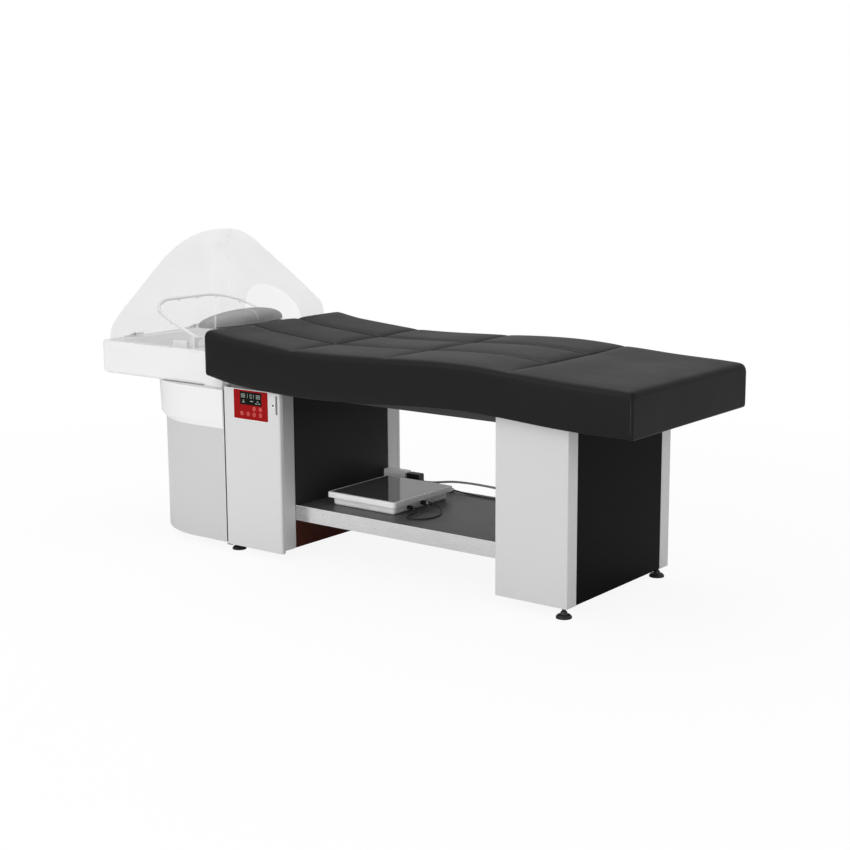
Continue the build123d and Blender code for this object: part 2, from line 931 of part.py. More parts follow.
bowl_low_x = head_x + bowl_head_gap
bowl_high_x = tray_end - bowl_foot_gap
with BuildPart() as basin_bowl:
    rim = 2 * board_gap
    extrude(
        rounded(tray_top, head_x + rim, tray_end - rim, tray_half - rim, tray_corner - rim),
        amount=rim_thickness,
    )
    outer_rows = (
        (deck_top, -bowl_wall),
        (bowl_floor - bowl_wall, bowl_draft - bowl_wall),
    )
    loft(
        [
            rounded(level, bowl_low_x + inset, bowl_high_x - inset, bowl_half - inset, bowl_corner)
            for level, inset in outer_rows
        ],
        ruled=True,
    )
    fillet(basin_bowl.edges().group_by(Axis.Z)[0], bowl_fillet + bowl_wall)
with BuildPart() as bowl_hollow:
    loft(
        [
            rounded(level, bowl_low_x + inset, bowl_high_x - inset, bowl_half - inset, bowl_corner - bowl_wall)
            for level, inset in ((deck_top, 0), (bowl_floor, bowl_draft))
        ],
        ruled=True,
    )
    fillet(bowl_hollow.edges().group_by(Axis.Z)[0], bowl_fillet)
with basin_bowl:
    add(bowl_hollow.part, mode=Mode.SUBTRACT)
    fillet(basin_bowl.edges().group_by(Axis.Z)[-1].filter_by(GeomType.CIRCLE), rim_thickness / 4)
    with Locations((drain_x, 0, bowl_floor)):
        Cylinder(strainer_radius, 4 * bowl_wall, mode=Mode.SUBTRACT)
    with Locations((riser_x, supply_y, tray_top)):
        Cylinder(supply_radius + board_gap, 4 * rim_thickness, mode=Mode.SUBTRACT)
save(basin_bowl, "basin_bowl")

with BuildPart() as bowl_strainer:
    with BuildSketch(Plane.XY.offset(bowl_floor)):
        with Locations((drain_x, 0)):
            Circle(strainer_radius + strainer_flange)
    extrude(amount=strainer_thickness)
    fillet(bowl_strainer.edges().group_by(Axis.Z)[-1], strainer_thickness / 2)
    with BuildSketch(Plane.XY.offset(bowl_floor)):
        with Locations((drain_x, 0)):
            Circle(strainer_radius - running_gap / 2)
    extrude(amount=-bowl_wall)
    with BuildSketch(Plane.XY.offset(bowl_floor + strainer_thickness)):
        with Locations((drain_x, 0)):
            Circle(strainer_hole)
            with PolarLocations(strainer_radius * 0.6, strainer_count):
                Circle(strainer_hole)
    extrude(amount=-2 * bowl_wall, mode=Mode.SUBTRACT)
save(bowl_strainer, "bowl_strainer")

with BuildPart() as basin_brackets:
    for side in (1, -1):
        inner = side * inner_half
        outer = side * (half_depth - slab_edge_radius - tray_side_inset / 2)
        low_y = min(inner, outer)
        high_y = max(inner, outer)
        box_between(
            (ledge_end, low_y, tray_bottom),
            (head_outer_x, high_y, slab_top),
        )
save(basin_brackets, "basin_brackets")

fitting_outer = bowl_half + fitting_side_gap
with BuildPart() as rim_fitting:
    box_between(
        (bowl_high_x - fitting_length + fitting_lead, -fitting_outer, deck_top),
        (bowl_high_x + fitting_lead, -fitting_outer + fitting_width, deck_top + fitting_height),
    )
    fillet(rim_fitting.edges().filter_by(Axis.Z), fitting_width / 4)
    fillet(rim_fitting.edges().group_by(Axis.Z)[-1], fitting_width / 4)
save(rim_fitting, "rim_fitting")

# Neck support and its pillow, a half moon with its tips towards the head end
neck_x = tray_end - neck_back - neck_depth / 2
neck_half = bowl_half - neck_side_gap
pillow_half = neck_half + pillow_overhang
with BuildPart() as neck_support:
    box_between(
        (neck_x - neck_depth / 2, -neck_half, deck_top),
        (neck_x + neck_depth / 2, neck_half, deck_top + neck_height),
    )
    fillet(neck_support.edges().filter_by(Axis.Z), neck_corner)
    with Locations((riser_x, supply_y, deck_top)):
        Cylinder(supply_radius + board_gap, 2 * neck_corner, mode=Mode.SUBTRACT)
save(neck_support, "neck_support")

pillow_low = deck_top + neck_height + seat_gap


def pillow_section(share):
    """One cross section of the pillow, at a signed share of its half length."""
    fade = share ** 2
    depth = pillow_depth + (pillow_tip_depth - pillow_depth) * fade
    height = pillow_height + (pillow_tip_height - pillow_height) * fade
    if share == 0:
        height = pillow_height - pillow_seam
    front = neck_x + pillow_depth / 2 - pillow_sweep * fade
    with BuildSketch(Plane.XZ.offset(-share * pillow_half)) as section:
        with BuildLine():
            Line((front - depth + depth / 8, pillow_low), (front - depth / 8, pillow_low))
            ThreePointArc(
                (front - depth / 8, pillow_low),
                (front, pillow_low + height / 3),
                (front - depth / 5, pillow_low + height * round_share),
            )
            ThreePointArc(
                (front - depth / 5, pillow_low + height * round_share),
                (front - depth / 2, pillow_low + height),
                (front - depth + depth / 5, pillow_low + height * round_share),
            )
            ThreePointArc(
                (front - depth + depth / 5, pillow_low + height * round_share),
                (front - depth, pillow_low + height / 3),
                (front - depth + depth / 8, pillow_low),
            )
        make_face()
    return section.sketch


round_share = 0.86
pillow_shares = (-1, -0.97, -0.75, -0.5, -0.25, -0.06, 0, 0.06, 0.25, 0.5, 0.75, 0.97, 1)
with BuildPart() as neck_pillow:
    loft([pillow_section(share) for share in pillow_shares], ruled=True)
save(neck_pillow, "neck_pillow")

# Spray arch on its two swivel posts
pivot_z = deck_top + arch_pivot_rise
arch_half = bowl_half - arch_side_gap
post_x = bowl_high_x + fitting_lead + board_gap + post_width / 2
post_inner = arch_half + arch_boss_length / 2 + running_gap
with BuildPart() as arch_swivels:
    for side in (1, -1):
        low_y = min(side * post_inner, side * (post_inner + post_width))
        box_between(
            (post_x - post_width / 2, low_y, deck_top),
            (post_x + post_width / 2, low_y + post_width, pivot_z + post_width / 2),
        )
        with Locations(Plane.XZ.offset(-side * arch_half)):
            with Locations((post_x, pivot_z)):
                Cylinder(arch_pin_radius, 2 * post_width)
    fillet(arch_swivels.edges().filter_by(Axis.Y).group_by(Axis.Z)[-1], post_width / 3)
save(arch_swivels, "arch_swivels")

arch_plane = Plane(
    origin=(post_x, 0, pivot_z),
    x_dir=Vector(-math.cos(math.radians(arch_tilt)), 0, math.sin(math.radians(arch_tilt))),
    z_dir=Vector(-math.sin(math.radians(arch_tilt)), 0, -math.cos(math.radians(arch_tilt))),
)
with BuildPart() as spray_arch:
    with BuildLine(arch_plane) as arch_route:
        FilletPolyline(
            (0, -arch_half),
            (arch_reach, -arch_half),
            (arch_reach, arch_half),
            (0, arch_half),
            radius=arch_bend,
        )
    with BuildSketch(Plane(arch_route.line @ 0, z_dir=arch_route.line % 0)):
        Circle(arch_tube / 2)
    sweep()
    for side in (1, -1):
        with Locations(Plane.XZ.offset(-side * arch_half)):
            with Locations((post_x, pivot_z)):
                Cylinder(arch_boss_radius, arch_boss_length)
    for number in range(nozzle_count):
        share = (number + nozzle_inset_share) / (nozzle_count - 1 + 2 * nozzle_inset_share)
        spot = arch_route.line @ share
        with Locations(Plane(origin=spot, z_dir=arch_plane.z_dir)):
            Cylinder(
                nozzle_radius,
                arch_tube / 2 + nozzle_length,
                align=(Align.CENTER, Align.CENTER, Align.MIN),
            )
    for side in (1, -1):
        with Locations(Plane.XZ.offset(-side * arch_half)):
            with Locations((post_x, pivot_z)):
                Cylinder(arch_pin_radius + running_gap, 2 * arch_boss_length, mode=Mode.SUBTRACT)
save(spray_arch, "spray_arch")

# Clear hood, hinged at the head end, with eyes for its hinges moulded on
hood_low = deck_top + hood_lift
hood_half = tray_half - hood_side_gap
hood_head = head_x + hood_head_inset
hood_foot = tray_end - hood_lift
hood_length = hood_foot - hood_head
hood_pivot_x = hood_head - hinge_offset
hood_pivot_z = deck_top + hinge_axis_rise
neck_opening_top = deck_top + neck_opening_rise
neck_opening_spring = deck_top + neck_spring_rise
knuckle = hinge_length / 3


def hood_sections(inset):
    """The hood's level outlines, drawn in by inset and lowered by it where the dome closes."""
    outlines = []
    for rise, head, foot, half, corner, drop in hood_row_shares:
        outlines.append(
            rounded(
                hood_low + rise * hood_height - drop * inset,
                hood_head + head * hood_length + inset,
                hood_foot - foot * hood_length - inset,
                half * hood_half - inset,
                corner * hood_corner - inset,
            )
        )
    return outlines


def hinge_places(shares):
    """Middles of knuckles along the two hinges, at shares of a knuckle from each hinge's middle."""
    return [side * hinge_spacing / 2 + share * knuckle for side in (1, -1) for share in shares]


with BuildPart() as hood_core:
    loft(hood_sections(hood_wall), ruled=True)

with BuildPart() as hood:
    loft(hood_sections(0), ruled=True)
    add(hood_core.part, mode=Mode.SUBTRACT)
    with BuildSketch(Plane.YZ.offset(hood_foot + overrun)):
        with BuildLine():
            Polyline(
                (-neck_opening / 2, neck_opening_spring),
                (-neck_opening / 2, deck_top),
                (neck_opening / 2, deck_top),
                (neck_opening / 2, neck_opening_spring),
            )
            ThreePointArc(
                (-neck_opening / 2, neck_opening_spring),
                (0, neck_opening_top),
                (neck_opening / 2, neck_opening_spring),
            )
        make_face()
    extrude(amount=-hood_length / 4 - overrun, mode=Mode.SUBTRACT)
    for middle in hinge_places((-1, 1)):
        with Locations(Plane.XZ.offset(-middle)):
            with Locations((hood_pivot_x, hood_pivot_z)):
                Cylinder(hinge_radius, knuckle - 2 * running_gap)
        box_between(
            (hood_pivot_x, middle - knuckle / 2 + running_gap, hood_pivot_z + hinge_radius - hinge_leaf),
            (hood_head + hood_wall, middle + knuckle / 2 - running_gap, hood_pivot_z + hinge_radius),
        )
    for middle in hinge_places((0,)):
        box_between(
            (hood_head - hinge_leaf, middle - hinge_length / 2 + running_gap, hood_pivot_z),
            (hood_head + hood_wall, middle + hinge_length / 2 - running_gap, hood_pivot_z + 2 * knuckle),
        )
    with Locations(Plane.XZ):
        with Locations((hood_pivot_x, hood_pivot_z)):
            Cylinder(hinge_pin_radius + running_gap, 2 * hood_half, mode=Mode.SUBTRACT)
save(hood, "hood")

with BuildPart() as hood_hinges:
    for middle in hinge_places((0,)):
        box_between(
            (head_x + 2 * board_gap, middle - hinge_length / 2, deck_top),
            (hood_pivot_x - hinge_radius - board_gap, middle + hinge_length / 2, deck_top + hinge_leaf),
        )
        box_between(
            (hood_pivot_x - hinge_radius - 2 * board_gap, middle - knuckle / 2, deck_top),
            (hood_pivot_x + hinge_radius, middle + knuckle / 2, hood_pivot_z),
        )
        with Locations(Plane.XZ.offset(-middle)):
            with Locations((hood_pivot_x, hood_pivot_z)):
                Cylinder(hinge_radius, knuckle)
                Cylinder(hinge_pin_radius, hinge_length)
save(hood_hinges, "hood_hinges")

# Levelling feet
foot_places = [
    (place_x, side * foot_stem_y) for place_x in (foot_foot_x, head_foot_x) for side in (-1, 1)
]
for number, (place_x, place_y) in enumerate(foot_places, start=1):
    with BuildPart() as levelling_foot:
        with BuildSketch(Plane.XZ.offset(-place_y)):
            with BuildLine():
                Polyline(
                    (place_x, 0),
                    (place_x + foot_pad_radius, 0),
                    (place_x + foot_pad_radius, foot_pad_height / 2),
                    (place_x + foot_pad_radius * 0.8, foot_pad_height),
                    (place_x + foot_stem_radius * 2, foot_pad_height * 1.2),
                    (place_x + foot_stem_radius * 1.5, foot_pad_height * 2),
                    (place_x + foot_stem_radius, foot_pad_height * 2),
                    (place_x + foot_stem_radius, slab_bottom + foot_stem_reach),
                    (place_x, slab_bottom + foot_stem_reach),
                    close=True,
                )
            make_face()
        revolve(axis=Axis((place_x, place_y, 0), (0, 0, 1)))
    save(levelling_foot, f"levelling_foot_{number}")

# Unit on the shelf: glass-topped case with a plug and a gland on its right side
shelf_deck = shelf_top - edge_wall
unit_top = shelf_deck + unit_height
unit_depth = 2 * (inner_half - unit_side_gap)
unit_x = head_inner_x + unit_head_gap + unit_width / 2
unit_side = unit_x + unit_width / 2 - unit_inset
gland_y = unit_y - gland_step
gland_z = shelf_top + gland_rise
plug_z = shelf_top + plug_rise


def plate_at(level, width, depth, corner):
    """A rounded rectangle at a level, on the middle of the shelf unit."""
    with BuildSketch(Plane.XY.offset(level)) as outline:
        with Locations((unit_x, unit_y)):
            RectangleRounded(width, depth, corner)
    return outline.sketch


with BuildPart() as shelf_unit_case:
    extrude(
        plate_at(shelf_deck, unit_width - 2 * unit_inset, unit_depth - 2 * unit_inset, unit_corner),
        amount=unit_height,
    )
    fillet(shelf_unit_case.edges().group_by(Axis.Z)[0], unit_corner * unit_round_share)
    extrude(plate_at(unit_top - unit_rim, unit_width, unit_depth, unit_corner), amount=unit_rim)
    fillet(shelf_unit_case.edges().group_by(Axis.Z)[-1], unit_corner / 3)
    extrude(
        plate_at(
            unit_top - glass_thickness,
            unit_width - 2 * glass_margin,
            unit_depth - 2 * glass_margin,
            unit_corner / 2,
        ),
        amount=unit_height,
        mode=Mode.SUBTRACT,
    )
    with Locations(Plane.YZ.offset(unit_side)):
        with Locations((gland_y, gland_z)):
            Cylinder(gland_radius, gland_length, align=(Align.CENTER, Align.CENTER, Align.MIN))
save(shelf_unit_case, "shelf_unit_case")

with BuildPart() as shelf_unit_glass:
    extrude(
        plate_at(
            unit_top - glass_thickness,
            unit_width - 2 * glass_margin - 2 * running_gap,
            unit_depth - 2 * glass_margin - 2 * running_gap,
            unit_corner / 2 - running_gap,
        ),
        amount=glass_thickness,
    )
save(shelf_unit_glass, "shelf_unit_glass")

with BuildPart() as link_plug:
    with BuildSketch(Plane.YZ.offset(unit_side)) as plug_outline:
        with Locations((unit_y, plug_z)):
            Circle(plug_radius)
    extrude(amount=plug_length - plug_radius)
    nose = plug_outline.sketch.faces()[0].moved(Location((plug_length - plug_radius, 0, 0)))
    extrude(nose, amount=plug_radius, taper=plug_taper)
save(link_plug, "link_plug")

# Socket box and power adapter at the far side of the shelf
socket_x = head_inner_x + socket_head_gap
socket_end = socket_x + socket_length
adapter_end = socket_end + adapter_length
item_far = inner_half - lip - seat_gap
with BuildPart() as socket_box:
    box_between(
        (socket_x, item_far - socket_depth, shelf_deck),
        (socket_end, item_far, shelf_deck + socket_height),
    )
    fillet(socket_box.edges().filter_by(Axis.Z), socket_round)
    fillet(socket_box.edges().group_by(Axis.Z)[-1], socket_round)
    cut_between(
        (socket_x + socket_round, item_far - socket_depth, shelf_deck + socket_height / 2 - board_gap / 2),
        (socket_end - socket_round, item_far - socket_depth + board_gap, shelf_deck + socket_height / 2),
    )
save(socket_box, "socket_box")

adapter_middle = item_far - adapter_depth / 2
with BuildPart() as power_adapter:
    box_between(
        (socket_end, item_far - adapter_depth, shelf_deck),
        (adapter_end, item_far, shelf_deck + adapter_height),
    )
    fillet(power_adapter.edges().filter_by(Axis.Y), socket_round)
    fillet(power_adapter.edges().group_by(Axis.Y)[0], socket_round / 2)
save(power_adapter, "power_adapter")

# Cables. Their routes are chosen by hand, point by point. Each row is the way along the bed, the
# way across it and the height over the shelf's top, drawn for a run of cable_run between the
# adapter and the foot pedestal
foot_panel_end = foot_inner_x + panel_recess + board / 2
stretch = (foot_panel_end - adapter_end) / cable_run
coupler_x = adapter_end + coupler_reach * stretch
coupler_y = cable_hole_y - coupler_step
coupler_z = shelf_deck + coupler_radius + seat_gap
link_rows = (
    (60, 0, 15),
    (82, -6, 7),
    (104, -26, 2),
    (120, -54, 0.6),
    (126, -88, 0.9),
    (121, -122, 0.6),
    (102, -148, 0.8),
    (74, -158, 0.6),
    (54, -150, 1),
    (49, -129, 3),
    (54, -106, 6),
    (55, -87, 9),
    (45, -73, 12),
)
adapter_rows = (
    (0, -5, 18),
    (38, -5, 18),
    (84, 0, 25),
    (130, 3, 32),
    (174, 2, 35),
    (232, -1, 37),
    (307, 0, 35),
    (392, 3, 30),
    (482, 1, 25),
    (562, -2, 23),
    (630, 0, 22),
    (cable_run, 0, 22),
)
coupled_rows = (
    (0, -13, 6),
    (28, -13, 6),
    (63, -11, 1),
    (94, -6, 5.3),
    (155, -6, 5.3),
    (186, -11, 2),
    (222, -15, 0.7),
    (264, -18, 0.9),
    (316, -15, 0.6),
    (370, -10, 0.8),
    (424, -12, 0.6),
    (478, -18, 0.9),
    (532, -20, 0.6),
    (584, -18, 3),
    (640, -14, 8),
    (cable_run, -14, 8),
)
link_points = [
    (unit_side + plug_length, unit_y, plug_z),
    *[(unit_side + along, unit_y + across, shelf_top + rise) for along, across, rise in link_rows],
    (unit_side + gland_length, gland_y, gland_z),
]
adapter_points, coupled_points = [
    [
        (adapter_end + along * stretch, cable_hole_y + across, shelf_top + rise)
        for along, across, rise in rows
    ]
    for rows in (adapter_rows, coupled_rows)
]


def lay_cable(name, points, radius):
    """A cable along its route, with each bend as wide as its two runs allow."""
    spots = [Vector(*point) for point in points]
    runs = [b - a for a, b in zip(spots, spots[1:])]
    bends = []
    for before, after in zip(runs, runs[1:]):
        turn = math.radians(before.get_angle(after))
        bends.append(bend_share * min(before.length, after.length) / math.tan(turn / 2))
    with BuildPart() as cable:
        with BuildLine() as route:
            FilletPolyline(*spots, radius=bends)
        with BuildSketch(Plane(route.line @ 0, z_dir=route.line % 0)):
            Circle(radius)
        sweep()
    save(cable, name)
    length = sum(edge.length for edge in route.line.edges())
    filled = cable.part.volume / (math.pi * radius ** 2 * length)
    print(f"{name}: length {length:.0f} mm, volume over section times length {filled:.4f}")
    print("  bends in mm:", " ".join(f"{bend:.0f}" for bend in bends))


lay_cable("link_cable", link_points, cable_radius)
lay_cable("adapter_cable", adapter_points, back_cable_radius)
lay_cable("coupled_cable", coupled_points, cable_radius)

with BuildPart() as cable_coupler:
    with BuildSketch(Plane.YZ.offset(coupler_x)):
        with Locations((coupler_y, coupler_z)):
            Circle(coupler_radius)
            Circle(cable_radius + running_gap, mode=Mode.SUBTRACT)
    extrude(amount=coupler_length)
    fillet(cable_coupler.edges().filter_by(GeomType.CIRCLE).sort_by(SortBy.RADIUS)[-2:], coupler_radius / 4)
save(cable_coupler, "cable_coupler")
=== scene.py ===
import json
import math

import bmesh
import bpy
import numpy as np
from bpy.props import FloatProperty, FloatVectorProperty, IntProperty, PointerProperty
from mathutils import Matrix, Vector


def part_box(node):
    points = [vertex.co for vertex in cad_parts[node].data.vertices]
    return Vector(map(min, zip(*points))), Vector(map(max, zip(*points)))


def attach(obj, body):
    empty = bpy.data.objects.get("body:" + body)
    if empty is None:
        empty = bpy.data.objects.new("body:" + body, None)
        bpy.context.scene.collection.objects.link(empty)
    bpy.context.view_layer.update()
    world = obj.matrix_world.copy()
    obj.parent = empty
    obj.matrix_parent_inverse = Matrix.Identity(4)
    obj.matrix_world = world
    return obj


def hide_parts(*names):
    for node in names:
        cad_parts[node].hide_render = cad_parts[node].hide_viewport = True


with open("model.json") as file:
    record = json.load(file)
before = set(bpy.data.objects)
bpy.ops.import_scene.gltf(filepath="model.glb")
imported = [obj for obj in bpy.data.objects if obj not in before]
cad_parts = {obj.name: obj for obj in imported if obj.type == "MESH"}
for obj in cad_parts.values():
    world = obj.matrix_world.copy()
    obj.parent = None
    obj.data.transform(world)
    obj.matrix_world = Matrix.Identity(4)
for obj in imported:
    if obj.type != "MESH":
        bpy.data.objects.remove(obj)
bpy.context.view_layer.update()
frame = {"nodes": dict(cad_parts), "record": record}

bl_info = {
    "name": "Hair Washing Bed",
    "version": (1, 0, 0),
    "blender": (4, 5, 0),
    "location": "View3D > Sidebar > Washing Bed",
    "description": "Dresses the packed hair washing bed and sets its stage",
    "category": "Object",
}

NODES = frame["nodes"]
WHITE = (1, 1, 1)


def tone(level):
    """Linear value of a screen level from 0 to 255."""
    share = level / 255
    return share / 12.92 if share <= 0.04045 else ((share + 0.055) / 1.055) ** 2.4


def rgb(red, green, blue):
    return (tone(red), tone(green), tone(blue))


def grey(level):
    return rgb(level, level, level)


# ---------------------------------------------------------------- settings


def length(name, description, default):
    return FloatProperty(name=name, description=description, default=default, unit="LENGTH")


def colour(name, description, default):
    return FloatVectorProperty(name=name, description=description, subtype="COLOR", default=default)


class BedSizes(bpy.types.PropertyGroup):
    """Sizes of the dressed pieces."""

    mattress_rows: IntProperty(
        name="Mattress rows",
        description="Rings of the mattress cover along its length",
        default=104,
        min=40,
    )
    mattress_swell: length("Mattress swell", "Furthest that the padding swells from its cut shape", 0.007)
    seam_depth: length("Seam depth", "How far a sewn channel is pulled down", 0.009)
    seam_reach: length("Seam reach", "Half width of a sewn channel's slope", 0.042)
    crease_depth: length("Crease depth", "Depth of the sharp crease in a channel", 0.006)
    stitch_pitch: length("Stitch pitch", "Distance from stitch to stitch", 0.0045)
    cable_radius: length("Lead radius", "Radius of the thin leads", 0.0022)
    back_cable_radius: length("Cable radius", "Radius of the thick grey cable", 0.004)


class BedColours(bpy.types.PropertyGroup):
    """Colours of the finishes."""

    leatherette: colour("Leatherette", "Black mattress cover", grey(15))
    pale_board: colour("Pale board", "Silver grey laminate of the slabs", grey(206))
    white_board: colour("White board", "Pale laminate of the cabinet door", grey(209))
    black_board: colour("Black board", "Gloss black laminate of the panels", grey(14))
    white_shell: colour("White shell", "Gloss white of basin and apron", grey(233))
    housing: colour("Housing", "Satin grey of the tank housing", grey(200))
    shelf: colour("Shelf", "Dark grey laminate of the shelf", grey(86))
    red_plate: colour("Red plate", "Red film of the control panel", rgb(146, 6, 8))


# ---------------------------------------------------------------- node building


class Flow:
    """One socket, so that maths on it reads as Python."""

    def __init__(self, nodes, socket):
        self.nodes = nodes
        self.socket = socket

    def beside(self, output):
        """Another output of the same node."""
        return Flow(self.nodes, self.socket.node.outputs[output])

    def __add__(self, other):
        return self.nodes.maths("ADD", self, other)

    def __radd__(self, other):
        return self.nodes.maths("ADD", other, self)

    def __mul__(self, other):
        return self.nodes.maths("MULTIPLY", self, other)

    def __rmul__(self, other):
        return self.nodes.maths("MULTIPLY", other, self)

    def __truediv__(self, other):
        return self.nodes.maths("DIVIDE", self, other)

    def __rtruediv__(self, other):
        return self.nodes.maths("DIVIDE", other, self)


class Nodes:
    """A node tree whose nodes all come from one method."""

    def __init__(self, tree):
        self.tree = tree

    def feed(self, socket, value):
        """Link a flow to a socket or set the socket's own value."""
        if isinstance(value, Flow):
            self.tree.links.new(value.socket, socket)
        elif isinstance(value, tuple) and len(socket.default_value) == len(value) + 1:
            socket.default_value = (*value, 1)
        else:
            socket.default_value = value

    def node(self, kind, settings=None, sockets=None, output=0):
        """Add a node, set it up, feed its sockets and return one of its outputs."""
        made = self.tree.nodes.new(kind)
        for key, value in (settings or {}).items():
            if key == "stops":
                stops = made.color_ramp.elements
                while len(stops) < len(value):
                    stops.new(0.5)
                for stop, (place, shade) in zip(stops, value):
                    stop.position = place
                    stop.color = (*shade, 1)
            else:
                setattr(made, key, value)
        for key, value in (sockets or {}).items():
            self.feed(made.inputs[key], value)
        return Flow(self, made.outputs[output])

    def maths(self, operation, first, second=0.5):
        return self.node("ShaderNodeMath", {"operation": operation}, {0: first, 1: second})

    def spread(self, value, low, high, to_low, to_high):
        """A value between two limits, mapped to a new range."""
        return self.node("ShaderNodeMapRange", None, {0: value, 1: low, 2: high, 3: to_low, 4: to_high})


class Paint(Nodes):
    """A material and the nodes that make it."""

    def __init__(self, name):
        self.material = bpy.data.materials.new(name)
        self.material.use_nodes = True
        super().__init__(self.material.node_tree)
        self.shader = self.tree.nodes["Principled BSDF"]

    def place(self):
        return self.node("ShaderNodeTexCoord", output="Object")

    def noise(self, scale, detail=2, at=None):
        sockets = {"Vector": at or self.place(), "Scale": scale, "Detail": detail}
        return self.node("ShaderNodeTexNoise", None, sockets)

    def cells(self, scale):
        return self.node("ShaderNodeTexVoronoi", None, {"Vector": self.place(), "Scale": scale})

    def axis(self, name, vector=None):
        """One axis of a vector, or of the place in the object."""
        return self.node("ShaderNodeSeparateXYZ", None, {0: vector or self.place()}, name)

    def squeezed(self, scale):
        """Object place squeezed by a scale for each axis."""
        return self.node("ShaderNodeMapping", None, {"Vector": self.place(), "Scale": scale})

    def eased(self, noise, low, high):
        """From low to high over the middle of a noise."""
        return self.spread(noise, 0.3, 0.7, low, high)

    def mix(self, factor, first, second):
        return self.node("ShaderNodeMix", {"data_type": "RGBA"}, {0: factor, 6: first, 7: second}, 2)

    def tint(self, factor, base, low, high):
        """From a darker to a lighter shade of a colour."""
        return self.mix(factor, shaded(base, low), shaded(base, high))

    def bump(self, height, strength, distance):
        sockets = {"Height": height, "Strength": strength, "Distance": distance}
        self.feed(self.shader.inputs["Normal"], self.node("ShaderNodeBump", None, sockets))

    def set(self, **values):
        for key, value in values.items():
            self.feed(self.shader.inputs[key.replace("_", " ")], value)
        return self.material


def shaded(base, factor):
    return tuple(min(channel * factor, 1) for channel in base)


# ---------------------------------------------------------------- finishes


def leatherette_paint(name, base):
    """Black artificial leather with fine grain and a soft shine."""
    paint = Paint(name)
    grain = paint.cells(950)
    fold = paint.noise(9, 3)
    wear = paint.noise(2.2)
    paint.bump(grain * 0.7 + fold * 1.2, 0.16, 0.0006)
    return paint.set(
        Base_Color=paint.tint(wear, base, 0.85, 1.2),
        Roughness=paint.eased(wear * 0.5 + fold * 0.5, 0.4, 0.5),
        Specular_IOR_Level=0.17,
    )


def thread_paint(name, level):
    paint = Paint(name)
    twist = paint.node("ShaderNodeTexWave", None, {"Vector": paint.place(), "Scale": 900.0})
    paint.bump(twist, 0.4, 0.0002)
    return paint.set(Base_Color=grey(level), Roughness=0.7)


def laminate_paint(name, base, gloss=0.34, fleck=0.03, painted_top_shade=0.0):
    """Laminate with faint cloud and very fine flecks, painted darker towards its top by a share of
    painted shade.
    """
    paint = Paint(name)
    cloud = paint.noise(3.5, 3)
    flecks = paint.noise(1400, 1)
    shade = paint.tint(flecks * 0.5 + cloud * 0.5, base, 1 - fleck, 1 + fleck)
    if painted_top_shade:
        # Painted shade: darker towards the top, under the mattress
        rise = paint.spread(paint.axis("Z"), 0.22, 0.52, 0.0, 1.0)
        shade = paint.mix(rise, shade, shaded(base, 1 - painted_top_shade))
    paint.bump(flecks, 0.05, 0.0003)
    return paint.set(
        Base_Color=shade,
        Roughness=paint.eased(cloud, gloss - 0.04, gloss + 0.05),
        Specular_IOR_Level=0.45,
    )


def black_board_paint(name, strength, shine, painted_light_lift=1.0):
    """Black laminate, which can be painted paler towards the shelf as painted light, with a painted
    brownish reflection below the shelf.
    """
    paint = Paint(name)
    base = shaded(colour_of("black_board"), strength)
    cloud = paint.noise(5, 4)
    shade = paint.tint(cloud, base, 0.85, 1.15)
    if painted_light_lift > 1:
        height = paint.axis("Z")
        # Painted light: the board is painted paler lower down, fully so below 0.2 m
        shade = paint.mix(paint.spread(height, 0.2, 0.5, 0.0, 1.0), shaded(base, painted_light_lift), shade)
        # Painted reflection: brownish below 0.16 m, under the shelf
        shade = paint.mix(paint.spread(height, 0.158, 0.164, 0.0, 1.0), rgb(70, 34, 26), shade)
    return paint.set(Base_Color=shade, Roughness=paint.eased(cloud, 0.3, 0.36), Specular_IOR_Level=shine)


def shell_paint(name, base, gloss):
    """Moulded glossy plastic with a slight orange peel and a little dust in its sheen."""
    paint = Paint(name)
    cloud = paint.noise(4)
    paint.bump(paint.noise(160), 0.03, 0.0006)
    return paint.set(
        Base_Color=paint.tint(cloud, base, 0.975, 1.0),
        Roughness=paint.eased(cloud, gloss - 0.03, gloss + 0.05),
        Coat_Weight=0.25,
        Coat_Roughness=0.1,
    )


def steel_paint(name, level, along=(2.0, 300.0, 300.0), gloss=0.3, contrast=0.04):
    """Brushed steel, its fine marks running along the piece."""
    paint = Paint(name)
    marks = paint.noise(6, 2, paint.squeezed(along))
    blend = marks * 0.5 + paint.noise(6) * 0.5
    return paint.set(
        Base_Color=paint.tint(blend, grey(level), 1 - contrast, 1 + contrast),
        Metallic=1.0,
        Roughness=paint.eased(marks, gloss - 0.04, gloss + 0.06),
    )


def chrome_paint(name, level):
    paint = Paint(name)
    smear = paint.noise(60, 3)
    return paint.set(Base_Color=grey(level), Metallic=1.0, Roughness=paint.eased(smear, 0.16, 0.26))


def moulded_paint(name, base, gloss=0.45, grain=900.0):
    """Moulded matte plastic or rubber with a fine texture."""
    paint = Paint(name)
    cloud = paint.noise(12)
    paint.bump(paint.cells(grain), 0.12, 0.0003)
    return paint.set(
        Base_Color=paint.tint(cloud, base, 0.88, 1.1),
        Roughness=paint.eased(cloud, gloss - 0.05, gloss + 0.07),
    )


def plywood_paint(name, *stops):
    paint = Paint(name)
    grain = paint.noise(3, 5, paint.squeezed((1.5, 30.0, 30.0)))
    paint.bump(grain, 0.15, 0.0005)
    return paint.set(
        Base_Color=paint.node("ShaderNodeValToRGB", {"stops": stops}, {0: grain}), Roughness=0.6
    )


